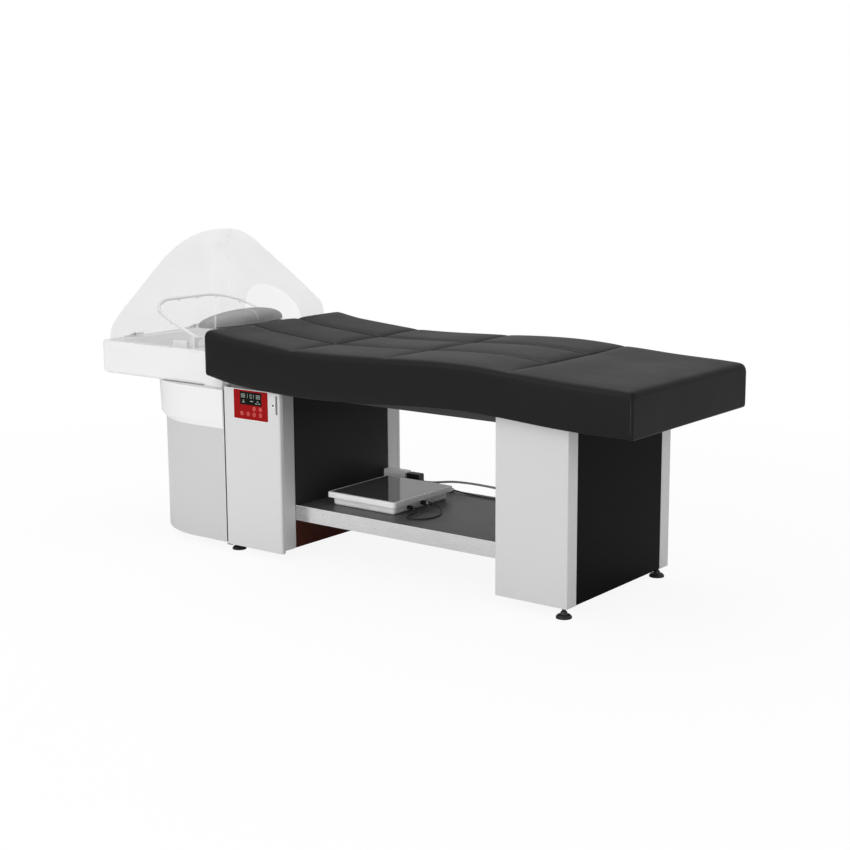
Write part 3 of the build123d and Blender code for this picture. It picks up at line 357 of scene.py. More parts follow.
def clear_paint(name, dull, highlight_level):
    """Clear grey acrylic of the hood, with a painted highlight along its bends."""
    paint = Paint(name)
    haze = paint.noise(5)
    # Painted highlight: paler and more opaque where the wall turns between its sides and ends, fading out
    # over the roof
    facing = paint.node("ShaderNodeTexCoord", output="Normal")
    across = paint.maths("ABSOLUTE", paint.axis("X", facing))
    along = paint.maths("ABSOLUTE", paint.axis("Y", facing))
    evenness = paint.maths("MINIMUM", across, along) / paint.maths("MAXIMUM", across, along)
    upward = paint.spread(paint.axis("Z", facing), 0.45, 0.75, 1.0, 0.0)
    bend = paint.spread(evenness, 0.62, 0.85, 0.0, 1.0) * upward
    return paint.set(
        Base_Color=paint.mix(bend, grey(dull), grey(highlight_level)),
        Roughness=paint.eased(haze, 0.05, 0.1),
        Alpha=paint.eased(haze, 0.075, 0.095) + bend * 0.13,
        Specular_IOR_Level=0.7,
    )


def glass_top_paint(name, dark, light):
    """Smoked glass over the shelf unit."""
    paint = Paint(name)
    smear = paint.noise(7, 3)
    return paint.set(
        Base_Color=paint.mix(smear, grey(dark), grey(light)),
        Roughness=paint.eased(smear, 0.06, 0.12),
        Coat_Weight=0.6,
        Coat_Roughness=0.04,
    )


def film_paint(name, base, gloss=0.45):
    """Printed film, slightly uneven."""
    paint = Paint(name)
    cloud = paint.noise(40)
    return paint.set(
        Base_Color=paint.tint(cloud, base, 0.92, 1.06),
        Roughness=paint.eased(cloud, gloss - 0.05, gloss + 0.05),
        Specular_IOR_Level=0.08,
        Coat_Weight=0.02,
        Coat_Roughness=0.15,
    )


def cable_paint(name, level):
    """Cable sheath with a faint ripple round it."""
    paint = Paint(name)
    ripple = paint.noise(260)
    paint.bump(ripple, 0.15, 0.0004)
    return paint.set(
        Base_Color=paint.mix(ripple, grey(level - 6), grey(level + 6)),
        Roughness=paint.eased(ripple, 0.39, 0.51),
    )


def colour_of(name):
    return tuple(getattr(bpy.context.scene.bed_colours, name))


PAINTS = {}


def make_paints():
    """Make every finish from its row: the recipe, the name and what the recipe takes."""
    shell = colour_of("white_shell")
    board = colour_of("pale_board")
    ply_stops = ((0.3, (0.32, 0.20, 0.10)), (0.55, (0.52, 0.36, 0.20)), (0.8, (0.62, 0.46, 0.28)))
    upright_marks = (300.0, 300.0, 2.0)
    rows = (
        (leatherette_paint, "black_leatherette", colour_of("leatherette")),
        (thread_paint, "thread", 84),
        (plywood_paint, "plywood", *ply_stops),
        (laminate_paint, "pale_board", board),
        # The door frame's copy of the pale board is painted half as bright at its top as painted shade
        (laminate_paint, "frame_board", board, 0.34, 0.03, 0.5),
        (laminate_paint, "white_board", colour_of("white_board")),
        (laminate_paint, "dark_glass", colour_of("shelf"), 0.38, 0.05),
        # The black board is painted up to 8 times paler towards the shelf as painted light
        (black_board_paint, "black_board", 1.0, 0.08, 8.0),
        # The foot end panel's copy of the black board is darkened to 0.3 as painted shade
        (black_board_paint, "end_board", 0.3, 0.04),
        (shell_paint, "white_shell", shell, 0.22),
        (shell_paint, "basin_white", shell, 0.16),
        (shell_paint, "housing_shell", colour_of("housing"), 0.34),
        (shell_paint, "arch_steel", grey(226), 0.3),
        # The rail's steel: its strong blotchy tone is partly brushing and partly painted reflection
        (steel_paint, "edge_steel", 218, (2.2, 3.0, 14.0), 0.26, 0.13),
        (steel_paint, "zinc_steel", 176),
        (steel_paint, "brushed_steel", 200, upright_marks),
        (steel_paint, "pipe_steel", 200, (40.0, 40.0, 40.0)),
        (steel_paint, "lock_shade", 128, upright_marks),
        (chrome_paint, "lock_chrome", 246),
        (moulded_paint, "dark_steel", grey(40), 0.4, 1500.0),
        (moulded_paint, "black_plastic", grey(18)),
        (moulded_paint, "grey_plastic", grey(196)),
        (moulded_paint, "white_plastic", grey(244), 0.35),
        (moulded_paint, "tank_plastic", grey(214), 0.5, 500.0),
        (moulded_paint, "pale_fitting", grey(222)),
        (moulded_paint, "grey_rubber", grey(140), 0.5, 1200.0),
        (moulded_paint, "pillow_piping", grey(196), 0.5, 1200.0),
        (moulded_paint, "foot_black", grey(30), 0.5),
        (moulded_paint, "dark_recess", grey(24), 0.5),
        # The hood's acrylic is 252 at its painted highlights
        (clear_paint, "clear_acrylic", 172, 252),
        (glass_top_paint, "smoke_glass", 74, 88),
        (film_paint, "red_plate", colour_of("red_plate")),
        (film_paint, "display_glass", rgb(6, 10, 6), 0.3),
        (film_paint, "display_digits", rgb(168, 176, 168), 0.4),
        (film_paint, "key_rubber", rgb(154, 12, 12), 0.4),
        (film_paint, "pink_print", rgb(226, 120, 112), 0.4),
        # White print of the panel edge, also the painted highlight on the shelf rail
        (film_paint, "white_print", grey(232), 0.4),
        (film_paint, "clear_grey_plastic", grey(206), 0.25),
        (cable_paint, "cable_black", 30),
        (cable_paint, "cable_grey", 150),
    )
    for recipe, name, *rest in rows:
        PAINTS[name] = recipe(name, *rest)


# ---------------------------------------------------------------- mesh helpers


def linked(name, data):
    """A new object of some data, in the scene."""
    piece = bpy.data.objects.new(name, data)
    bpy.context.scene.collection.objects.link(piece)
    return piece


def smoothed(piece, smooth=True):
    polygons = piece.data.polygons
    polygons.foreach_set("use_smooth", [smooth] * len(polygons))


def sharpened(piece):
    piece.data.set_sharp_from_angle(angle=math.radians(35))


def bm_piece(bm, name, paint, smooth=True):
    """Make an object of a drawn skin, with its finish."""
    bmesh.ops.recalc_face_normals(bm, faces=bm.faces)
    mesh = bpy.data.meshes.new(name)
    bm.to_mesh(mesh)
    bm.free()
    mesh.materials.append(PAINTS[paint])
    piece = linked(name, mesh)
    smoothed(piece, smooth)
    mesh.update()
    return piece


def seat(piece, body, slot):
    """Say which body a piece rides on; the slot argument is not used."""
    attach(piece, body)


def flattened(piece):
    """Turn a piece and its modifiers into a plain mesh at the origin."""
    bpy.context.view_layer.update()
    graph = bpy.context.evaluated_depsgraph_get()
    mesh = bpy.data.meshes.new_from_object(piece.evaluated_get(graph))
    mesh.transform(piece.matrix_world)
    piece.modifiers.clear()
    piece.data = mesh
    piece.matrix_world = Matrix.Identity(4)
    return piece


def landing(piece, origin, direction):
    """Where a ray meets a piece, and the piece's normal there."""
    hit, place, normal, _ = piece.ray_cast(Vector(origin), Vector(direction))
    if not hit:
        raise RuntimeError(f"a sewn line left {piece.name}")
    return place, normal


def bridge(bm, first, second):
    """Faces between two closed rows of as many points."""
    for i in range(len(first)):
        j = (i + 1) % len(first)
        bm.faces.new((first[i], first[j], second[j], second[i]))


def ring_skin(bm, rings, ends="cap"):
    """A skin over rings of points, its ends capped, open or joined to each other."""
    rows = [[bm.verts.new(point) for point in ring] for ring in rings]
    for low, high in zip(rows, rows[1:]):
        bridge(bm, low, high)
    if ends == "cap":
        bm.faces.new(rows[0])
        bm.faces.new(rows[-1])
    elif ends == "join":
        bridge(bm, rows[-1], rows[0])
    return rows


def upright(first, second, depth):
    """A place of a drawing that faces the near side."""
    return (first, depth, second)


def flat(first, second, depth):
    """A place of a drawing that lies flat."""
    return (first, second, depth)


def endwise(first, second, depth):
    """A place of a drawing that faces the foot end."""
    return (depth, first, second)


def plate(bm, outline, front, back, place=upright):
    """A plate with the drawn outline between two depths."""
    ring_skin(bm, [[place(a, b, depth) for a, b in outline] for depth in (front, back)])


def band(bm, outer, inner, front, back, place=upright):
    """A flat frame between two outlines of the same number of points."""
    loops = ((outer, front), (inner, front), (inner, back), (outer, back))
    ring_skin(bm, [[place(a, b, depth) for a, b in line] for line, depth in loops], "join")


def bar(low_a, low_b, high_a, high_b):
    """The outline of a rectangle."""
    return [(low_a, low_b), (high_a, low_b), (high_a, high_b), (low_a, high_b)]


def arc(a, b, radius, start, sweep, steps):
    """Points along an arc given in degrees, with both its ends."""
    turns = [math.radians(start + sweep * i / steps) for i in range(steps + 1)]
    return [(a + radius * math.cos(turn), b + radius * math.sin(turn)) for turn in turns]


def circle(a, b, radius):
    return arc(a, b, radius, 0, 360, 36)[:-1]


def rounded(low_a, low_b, high_a, high_b, radius, steps=6):
    """The outline of a rectangle with rounded corners."""
    points = []
    corners = ((high_a, high_b), (low_a, high_b), (low_a, low_b), (high_a, low_b))
    for number, (a, b) in enumerate(corners):
        a += radius if a == low_a else -radius
        b += radius if b == low_b else -radius
        points += arc(a, b, radius, 90 * number, 90, steps)
    return points


def tube(bm, start, end, radius, bore=0.0, steps=28):
    """A round bar or sleeve between two places."""
    along = (Vector(end) - Vector(start)).normalized()
    first = along.orthogonal().normalized()
    second = along.cross(first)
    sizes = [(start, radius), (end, radius)]
    if bore:
        sizes += [(end, bore), (start, bore)]
    rings = [
        [Vector(centre) + first * a + second * b for a, b in arc(0, 0, size, 0, 360, steps)[:-1]]
        for centre, size in sizes
    ]
    ring_skin(bm, rings, "join" if bore else "cap")


# ---------------------------------------------------------------- soft pieces

SWELL_FRAMES = 20


def swell(piece, held, cap, rounds=10):
    """Blow a cover up with cloth and keep the outward part of each move, evened out and capped."""
    mesh = piece.data
    starts = [vertex.co.copy() for vertex in mesh.vertices]
    normals = [vertex.normal.copy() for vertex in mesh.vertices]
    fixed = np.array([held(co) for co in starts])
    group = piece.vertex_groups.new(name="held")
    for index, value in enumerate(fixed):
        group.add([index], 1.0 if value else 0.0, "REPLACE")
    cloth = piece.modifiers.new("padding", "CLOTH")
    cloth.settings.quality = 8
    cloth.settings.mass = 0.4
    cloth.settings.bending_stiffness = 1.0
    cloth.settings.use_pressure = True
    cloth.settings.uniform_pressure_force = 4.0
    cloth.settings.vertex_group_mass = "held"
    cloth.settings.effector_weights.gravity = 0
    cloth.point_cache.frame_start = 1
    cloth.point_cache.frame_end = SWELL_FRAMES
    for step in range(1, SWELL_FRAMES + 1):
        bpy.context.scene.frame_set(step)
    bpy.context.view_layer.update()
    swollen = piece.evaluated_get(bpy.context.evaluated_depsgraph_get()).data
    moves = zip(swollen.vertices, starts, normals)
    outward = np.array([max(0.0, (vertex.co - start).dot(normal)) for vertex, start, normal in moves])
    piece.modifiers.remove(cloth)
    bpy.context.scene.frame_set(1)
    edges = np.array([tuple(edge.vertices) for edge in mesh.edges])
    count = np.bincount(edges.ravel(), minlength=len(starts))
    outward[fixed] = 0
    for _ in range(rounds):
        around = np.bincount(edges[:, 0], outward[edges[:, 1]], len(starts))
        around += np.bincount(edges[:, 1], outward[edges[:, 0]], len(starts))
        outward = 0.5 * outward + 0.5 * around / count
        outward[fixed] = 0
    for vertex, start, normal, move in zip(mesh.vertices, starts, normals, outward):
        limit = cap(start)
        vertex.co = start + normal * (limit * math.tanh(move / limit))
    mesh.update()


def subdivided(piece):
    """Subdivide a piece once and keep the result."""
    subdivide = piece.modifiers.new("subdivide", "SUBSURF")
    subdivide.levels = 1
    subdivide.render_levels = 1
    return flattened(piece)


# ---------------------------------------------------------------- mattress

MATTRESS_LOW, MATTRESS_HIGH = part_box("mattress")
MATTRESS_LENGTH = MATTRESS_HIGH.x - MATTRESS_LOW.x
MATTRESS_HALF = MATTRESS_HIGH.y
HEAD_THICKNESS = 0.152
FOOT_THICKNESS = 0.134
UNDERSIDE = 0.567
HEAD_RISE = 0.037
HUMP_RISE = 0.025
# Each knot: share of the length, of the head's rise and of the hump's rise
WAVE_SHARES = ((0, 1, 0), (0.083, 0.4, 0), (0.29, 0, 0), (0.63, 0, 1), (0.86, 0, 0.24), (1, 0, 0.08))
SEAM_XS = [MATTRESS_LOW.x + share * MATTRESS_LENGTH for share in (0.234, 0.468, 0.743)]
LONG_SEAM = 0.168 * 2 * MATTRESS_HALF
SEAM_STEPS = (0.0, 0.005, 0.012, 0.022)
SEAM_CLEAR = 0.033
TOP_PITCH = 0.0125
TOP_RADIUS = 0.017
LOW_RADIUS = 0.008
TOP_LIFT = 0.003
TOP_BAND = 0.022
CREASE_REACH = 0.008
HELD_EDGE = 0.012
HELD_SEAM = 0.001
SIDE_SWELL = 0.0025
SIDE_ROWS = 9
UNDER_ROWS = 18
# Each ring of a rounded end: its step from the end and how far it is drawn in
END_RINGS = ((0.0, 0.004), (0.0012, 0.0012), (0.004, 0.0), (0.009, 0.0))
END_SHARES = (0.97, 0.85, 0.6, 0.35)
THREAD_OFFSET = 0.0045
THREAD_LENGTH = 0.0030
THREAD_RADIUS = 0.00042
THREAD_LIFT = 0.0002
THREAD_CLEAR = 0.03
CORNER_THREAD = 0.008
ABOVE = 1.0


def wave(x):
    """Height of the mattress underside at x."""
    t = min(max((x - MATTRESS_LOW.x) / MATTRESS_LENGTH, 0), 1)
    knots = [(s, UNDERSIDE + h * HEAD_RISE + k * HUMP_RISE) for s, h, k in WAVE_SHARES]
    slopes = []
    for i in range(len(knots)):
        before = knots[max(i - 1, 0)]
        after = knots[min(i + 1, len(knots) - 1)]
        slopes.append((after[1] - before[1]) / (after[0] - before[0]))
    i = max(n for n in range(len(knots) - 1) if knots[n][0] <= t)
    span = knots[i + 1][0] - knots[i][0]
    u = (t - knots[i][0]) / span
    rise = knots[i + 1][1] - knots[i][1]
    bend = slopes[i] * span * u * (1 - u) ** 2 - slopes[i + 1] * span * u ** 2 * (1 - u)
    return knots[i][1] + rise * u ** 2 * (3 - 2 * u) + bend


def thickness(x):
    return HEAD_THICKNESS + (FOOT_THICKNESS - HEAD_THICKNESS) * (x - MATTRESS_LOW.x) / MATTRESS_LENGTH


def spaced(low, high, pitch, marks):
    """Places from low to high, a pitch apart and closer beside the marks."""
    count = max(2, round((high - low) / pitch))
    fine = sorted({mark + side * step for mark in marks for side in (-1, 1) for step in SEAM_STEPS})
    even = [low + (high - low) * i / count for i in range(count + 1)]
    clear = [place for place in even if all(abs(place - mark) > SEAM_CLEAR for mark in marks)]
    return sorted(fine + clear)


def dip(distance):
    """Depth of a sewn channel at a distance from its line."""
    sizes = bpy.context.scene.bed_sizes
    slope = sizes.seam_depth * max(0, 1 - distance / sizes.seam_reach) ** 2
    return slope + sizes.crease_depth * max(0, 1 - distance / CREASE_REACH)


def channel(x, y):
    """Depth of the sewn channels at a place of the top."""
    past = max(0, abs(y) - LONG_SEAM) / (MATTRESS_HALF - LONG_SEAM)
    near = min(abs(x - seam_x) for seam_x in SEAM_XS)
    across = dip(near) * (1 - 0.93 * past ** 0.8)
    end = 1 - min(max((x - SEAM_XS[-1]) / 0.02, 0), 1)
    along = dip(abs(abs(y) - LONG_SEAM)) * (0.5 + 0.4 * max(0, 1 - near / 0.16)) * end
    return max(across, along)


def mattress_ring(x, inset, drop):
    """One ring of the cover at x: top from side to side, then down, under and up."""
    half = MATTRESS_HALF - inset
    low = wave(x) + inset
    high = wave(x) + thickness(x) + TOP_LIFT - drop
    reach = half - TOP_RADIUS
    full = MATTRESS_HALF - TOP_RADIUS
    top = [(y * reach / full, high) for y in spaced(-full, full, TOP_PITCH, (-LONG_SEAM, LONG_SEAM))]
    side = arc(reach, high - TOP_RADIUS, TOP_RADIUS, 90, -90, 6)[1:]
    fall = low + LOW_RADIUS - high + TOP_RADIUS
    side += [(half, high - TOP_RADIUS + fall * i / SIDE_ROWS) for i in range(1, SIDE_ROWS)]
    side += arc(half - LOW_RADIUS, low + LOW_RADIUS, LOW_RADIUS, 0, -90, 3)
    under = [((half - LOW_RADIUS) * (1 - 2 * i / UNDER_ROWS), low) for i in range(1, UNDER_ROWS)]
    other = [(-y, z) for y, z in reversed(side)]
    return [(x, y, z) for y, z in top + side + under + other]


def end_drop(step):
    """How far the rounded end edge lies below the top at a step from the end."""
    return TOP_RADIUS - math.sqrt(max(TOP_RADIUS ** 2 - (TOP_RADIUS - step) ** 2, 0))


def on_top(co):
    return co.z > wave(co.x) + thickness(co.x) - TOP_BAND


def mattress_held(co):
    """Whether the cover is held here by a seam, an end or what it lies on."""
    if co.z < wave(co.x) + HELD_EDGE:
        return True
    end = min(co.x - MATTRESS_LOW.x, MATTRESS_HIGH.x - co.x) < HELD_EDGE
    across = min(abs(co.x - seam_x) for seam_x in SEAM_XS) < HELD_SEAM
    along = co.x < SEAM_XS[-1] and abs(abs(co.y) - LONG_SEAM) < HELD_SEAM
    return end or (on_top(co) and (across or along))


class BED_OT_mattress(bpy.types.Operator):
    """Make the quilted mattress: cut shape, simulated padding, sewn channels"""

    bl_idname = "bed.mattress"
    bl_label = "Mattress"

    def execute(self, context):
        sizes = context.scene.bed_sizes
        low, high = MATTRESS_LOW.x, MATTRESS_HIGH.x
        pitch = MATTRESS_LENGTH / sizes.mattress_rows
        stations = [(low + step, inset, end_drop(step)) for step, inset in END_RINGS]
        stations += [(x, 0.0, 0.0) for x in spaced(low + TOP_RADIUS, high - TOP_RADIUS, pitch, SEAM_XS)]
        stations += [(high - step, inset, end_drop(step)) for step, inset in reversed(END_RINGS)]
        bm = bmesh.new()
        rings = ring_skin(bm, [mattress_ring(*station) for station in stations], "open")
        for ring in (rings[0], rings[-1]):
            centre = sum((v.co for v in ring), Vector()) / len(ring)
            loop = ring
            for share in END_SHARES:
                inner = [bm.verts.new(centre + (v.co - centre) * share) for v in ring]
                bridge(bm, loop, inner)
                loop = inner
            bm.faces.new(loop)
        piece = bm_piece(bm, "mattress_cover", "black_leatherette")
        swell(piece, mattress_held, lambda co: sizes.mattress_swell if on_top(co) else SIDE_SWELL)
        subdivided(piece)
        for vertex in piece.data.vertices:
            if on_top(vertex.co):
                vertex.co.z -= channel(vertex.co.x, vertex.co.y)
        smoothed(piece)
        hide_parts("mattress")
        seat(piece, "bed", "black_leatherette")
        return {"FINISHED"}


class BED_OT_stitches(bpy.types.Operator):
    """Sew the thread rows along the seams of the mattress"""

    bl_idname = "bed.stitches"
    bl_label = "Stitches"

    def execute(self, context):
        cover = bpy.data.objects["mattress_cover"]
        points, edges = [], []
        for line in self.lines():
            first = len(points)
            for origin, direction in line:
                place, normal = landing(cover, origin, direction)
                points.append(place + normal * THREAD_LIFT)
            edges.extend((first + i, first + i + 1) for i in range(len(line) - 1))
        mesh = bpy.data.meshes.new("stitches")
        mesh.from_pydata(points, edges, [])
        piece = linked("stitches", mesh)
        pitch = context.scene.bed_sizes.stitch_pitch
        thread = {"Pitch": pitch, "Length": THREAD_LENGTH, "Radius": THREAD_RADIUS}
        run_tree(piece, stitch_tree(), thread)
        smoothed(piece)
        seat(piece, "bed", "black_leatherette")
        return {"FINISHED"}

    def lines(self):
        """The rays that find each thread row: across, along and up the four corners."""
        down = (0, 0, -1)
        lines = []
        reach = MATTRESS_HALF - THREAD_CLEAR
        for x in SEAM_XS:
            across = [-reach + 2 * reach * i / 60 for i in range(61)]
            lines.append([((x + THREAD_OFFSET, y, ABOVE), down) for y in across])
        start = MATTRESS_LOW.x + THREAD_CLEAR
        for side in (1, -1):
            run = [start + (SEAM_XS[-1] - start) * i / 140 for i in range(141)]
            lines.append([((x, side * (LONG_SEAM + THREAD_OFFSET), ABOVE), down) for x in run])
            for end_x, inward in ((MATTRESS_HIGH.x, -1), (MATTRESS_LOW.x, 1)):
                heights = [wave(end_x) + 0.02 + (thickness(end_x) - 0.045) * i / 24 for i in range(25)]
                side_x = end_x + CORNER_THREAD * inward
                lines.append([((side_x, side, z), (0, -side, 0)) for z in heights])
                face_y = side * (MATTRESS_HALF - CORNER_THREAD)
                lines.append([((end_x - 0.5 * inward, face_y, z), (inward, 0, 0)) for z in heights])
        return lines


# ---------------------------------------------------------------- geometry nodes


class Web(Nodes):
    """A geometry node tree with named inputs."""

    def __init__(self, name, inputs):
        super().__init__(bpy.data.node_groups.new(name, "GeometryNodeTree"))
        face = self.tree.interface
        face.new_socket("Geometry", in_out="INPUT", socket_type="NodeSocketGeometry")
        for key in inputs:
            face.new_socket(key, in_out="INPUT", socket_type="NodeSocketFloat")
        face.new_socket("Geometry", in_out="OUTPUT", socket_type="NodeSocketGeometry")
        self.start = self.tree.nodes.new("NodeGroupInput")
        self.end = self.tree.nodes.new("NodeGroupOutput")

    def given(self, name):
        return Flow(self, self.start.outputs[name])

    def close(self, points, instance, facing, paint):
        """Put the instance on the points, make it real and give it its finish."""
        turn = self.node("FunctionNodeAlignRotationToVector", {"axis": "Z"}, {"Vector": facing})
        sockets = {"Points": points, "Instance": instance, "Rotation": turn}
        placed = self.node("GeometryNodeInstanceOnPoints", None, sockets)
        solid = self.node("GeometryNodeRealizeInstances", None, {0: placed})
        sockets = {"Geometry": solid, "Material": PAINTS[paint]}
        painted = self.node("GeometryNodeSetMaterial", None, sockets)
        self.feed(self.end.inputs[0], painted)
        return self.tree


def run_tree(piece, tree, values):
    """Give a piece the tree, set its inputs by their identifiers and keep the result as a mesh."""
    modifier = piece.modifiers.new(tree.name, "NODES")
    modifier.node_group = tree
    for item in tree.interface.items_tree:
        if item.in_out == "INPUT" and item.name in values:
            modifier[item.identifier] = values[item.name]
    return flattened(piece)


def stitch_tree():
    """Short rounded threads laid along lines."""
    web = Web("stitch_rows", ("Pitch", "Length", "Radius"))
    curve = web.node("GeometryNodeMeshToCurve", None, {0: web.given("Geometry")})
    spacing = {"Curve": curve, "Length": web.given("Pitch")}
    points = web.node("GeometryNodeCurveToPoints", {"mode": "LENGTH"}, spacing)
    sizes = {"Vertices": 6, "Radius": web.given("Radius"), "Depth": web.given("Length")}
    thread = web.node("GeometryNodeMeshCylinder", {"fill_type": "TRIANGLE_FAN"}, sizes)
    return web.close(points, thread, points.beside("Tangent"), "thread")


def screw_tree():
    """Pan-head screws, one at each point, facing along the point's stored direction."""
    web = Web("screw_heads", ("Radius", "Height"))
    radius = web.given("Radius")
    sizes = {
        "Vertices": 20,
        "Radius Top": radius * 0.72,
        "Radius Bottom": radius,
        "Depth": web.given("Height"),
    }
    head = web.node("GeometryNodeMeshCone", None, sizes)
    settings = {"data_type": "FLOAT_VECTOR"}
    facing = web.node("GeometryNodeInputNamedAttribute", settings, {"Name": "facing"})
    return web.close(web.given("Geometry"), head, facing, "lock_chrome")


def screws(name, places, body, radius, height):
    """Screw heads at places, each with the direction it faces."""
    mesh = bpy.data.meshes.new(name)
    mesh.from_pydata([place for place, _ in places], [], [])
    facing = mesh.attributes.new("facing", "FLOAT_VECTOR", "POINT")
    facing.data.foreach_set("vector", [value for _, direction in places for value in direction])
    piece = linked(name, mesh)
    run_tree(piece, screw_tree(), {"Radius": radius, "Height": height})
    seat(piece, body, "lock_chrome")


class BED_OT_fasteners(bpy.types.Operator):
    """Add the screw heads of the hood's hinges and the door's pivots"""

    bl_idname = "bed.fasteners"
    bl_label = "Fasteners"

    def execute(self, context):
        low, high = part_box("hood_hinges")
        leaf_x = (low.x + high.x) / 2 - 0.008
        ys = [side * HINGE_Y + shift for side in (1, -1) for shift in (-0.02, 0.02)]
        places = [((leaf_x, y, low.z + 0.0032), (0, 0, 1)) for y in ys]
        screws("hinge_screws", places, "bed", radius=0.0032, height=0.0016)
        low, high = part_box("door_pivots")
        middle = (low.x + high.x) / 2
        places = [
            ((middle, high.y - 0.006, low.z + 0.0059), (0, 0, -1)),
            ((middle, low.y + 0.0135, high.z - 0.004), (0, -1, 0)),
        ]
        screws("pivot_screws", places, "bed", radius=0.0028, height=0.0016)
        return {"FINISHED"}


# ---------------------------------------------------------------- pillow

PILLOW_LOW, PILLOW_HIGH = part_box("neck_pillow")
PILLOW_HALF = 0.9 * PILLOW_HIGH.y
PILLOW_HEIGHT = 0.055
PILLOW_TIP = 0.020
PILLOW_DEPTH = 0.108
PILLOW_SWEEP = 0.030
PILLOW_SHIFT = 0.032
PILLOW_MIDDLE = PILLOW_HIGH.x - PILLOW_SHIFT - PILLOW_DEPTH / 2
PILLOW_RINGS = 56
PIPING_RADIUS = 0.0011


def pillow_ring(share, steps=28):
    """One cross section of the half moon, at a signed share of its half length."""
    fullness = max(1 - share * share, 0.0)
    height = PILLOW_TIP + (PILLOW_HEIGHT - PILLOW_TIP) * fullness ** 0.65
    depth = PILLOW_DEPTH * (0.42 + 0.58 * fullness ** 0.7)
    middle = PILLOW_MIDDLE - PILLOW_SWEEP * share * share
    points = []
    for across, rise in arc(0, 0, 1, 0, 360, steps)[:-1]:
        wide = math.copysign(abs(across) ** 0.8, across)
        tall = 0.3 + (0.7 * rise if rise > 0 else 0.3 * math.copysign(abs(rise) ** 0.5, rise))
        points.append((middle + wide * depth / 2, share * PILLOW_HALF, PILLOW_LOW.z + tall * height))
    return points


def pillow_held(co):
    return co.z < PILLOW_LOW.z + 0.004 or abs(co.y) < 0.002


class BED_OT_pillow(bpy.types.Operator):
    """Make the half-moon neck pillow with its piped middle seam"""

    bl_idname = "bed.pillow"
    bl_label = "Neck pillow"

    def execute(self, context):
        turns = [math.radians(-90 + 180 * i / PILLOW_RINGS) for i in range(1, PILLOW_RINGS)]
        bm = bmesh.new()
        ring_skin(bm, [pillow_ring(math.sin(turn) * 0.995) for turn in turns])
        piece = bm_piece(bm, "neck_cushion", "grey_rubber")
        swell(piece, pillow_held, lambda co: 0.003)
        subdivided(piece)
        for vertex in piece.data.vertices:
            rise = vertex.co.z - PILLOW_LOW.z
            vertex.co.z -= min(rise, 0.02) * 0.12 * math.exp(-((vertex.co.y / 0.006) ** 2))
        smoothed(piece)
        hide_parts("neck_pillow")
        seat(piece, "bed", "grey_rubber")
        self.piping(piece)
        return {"FINISHED"}

    def piping(self, pillow):
        """A thin pale cord sewn over the middle of the pillow."""
        rings = []
        for across, rise in arc(0, 0, 1, 4, 172, 40):
            outward = Vector((across, 0, rise))
            origin = Vector((PILLOW_MIDDLE, 0, PILLOW_LOW.z + 0.012)) + outward * 0.2
            place, _ = landing(pillow, origin, -outward)
            section = arc(0, 0, PIPING_RADIUS, 0, 360, 8)[:-1]
            rings.append([place + outward * out + Vector((0, side, 0)) for out, side in section])
        bm = bmesh.new()
        ring_skin(bm, rings)
        seat(bm_piece(bm, "pillow_piping", "pillow_piping"), "bed", "grey_rubber")


# ---------------------------------------------------------------- hood

HOOD_HEAD = -1.0795
HOOD_FOOT = -0.541
HOOD_HALF = 0.284
HOOD_LOW = 0.675
HOOD_HEIGHT = 0.393
HOOD_WALL = 0.003
DECK_TOP = 0.674
# Each row: share of the height, of the length at the head and the foot side, of the half width,
# then the radius of the corners in metres
HOOD_ROWS = (
    (0, 0, 0, 1, 0.014),
    (0.12, 0.014, 0, 1, 0.016),
    (0.293, 0.118, 0.004, 0.985, 0.020),
    (0.42, 0.166, 0.052, 0.868, 0.022),
    (0.522, 0.208, 0.112, 0.785, 0.022),
    (0.725, 0.291, 0.243, 0.612, 0.024),
    (0.827, 0.342, 0.300, 0.515, 0.030),
    (0.903, 0.392, 0.330, 0.440, 0.040),
    (0.959, 0.450, 0.365, 0.350, 0.044),
    (0.99, 0.510, 0.405, 0.230, 0.022),
    (1, 0.540, 0.440, 0.060, 0.004),
)
ROW_STEPS = 8
NECK_HALF = 0.150
NECK_SPRING = 0.066
NECK_RISE = 0.206
HINGE_X = -1.078
HINGE_Y = 0.15
HINGE_Z = 0.684
HINGE_RADIUS = 0.007
HINGE_NOTCH = 0.0325
HINGE_PIN = 0.0026
KNUCKLE = 0.020


def hood_row(place):
    """Smoothly blended row values at a place counted in rows."""
    last = len(HOOD_ROWS) - 1
    i = min(int(place), last - 1)
    t = place - i
    rows = [HOOD_ROWS[min(max(k, 0), last)] for k in (i - 1, i, i + 1, i + 2)]
    values = []
    for before, first, second, after in zip(*rows):
        curve = (second - before) * t + (2 * before - 5 * first + 4 * second - after) * t ** 2
        curve += (3 * first - before - 3 * second + after) * t ** 3
        values.append(first + curve / 2)
    return values


def hood_ring(place, inset):
    """The hood's level outline at a place counted in rows, drawn in by an inset."""
    rise, head, foot, half, radius = hood_row(place)
    reach = HOOD_FOOT - HOOD_HEAD
    left = HOOD_HEAD + head * reach + inset
    right = HOOD_FOOT - foot * reach - inset
    side = max(half * HOOD_HALF - inset, 0.003)
    radius = max(min(radius - inset, side * 0.95, (right - left) * 0.45), 0.001)
    drop = inset * min(max((rise - 0.85) / 0.15, 0), 1)
    height = HOOD_LOW + rise * HOOD_HEIGHT - drop
    return [(x, y, height) for x, y in rounded(left, -side, right, side, radius, 8)]


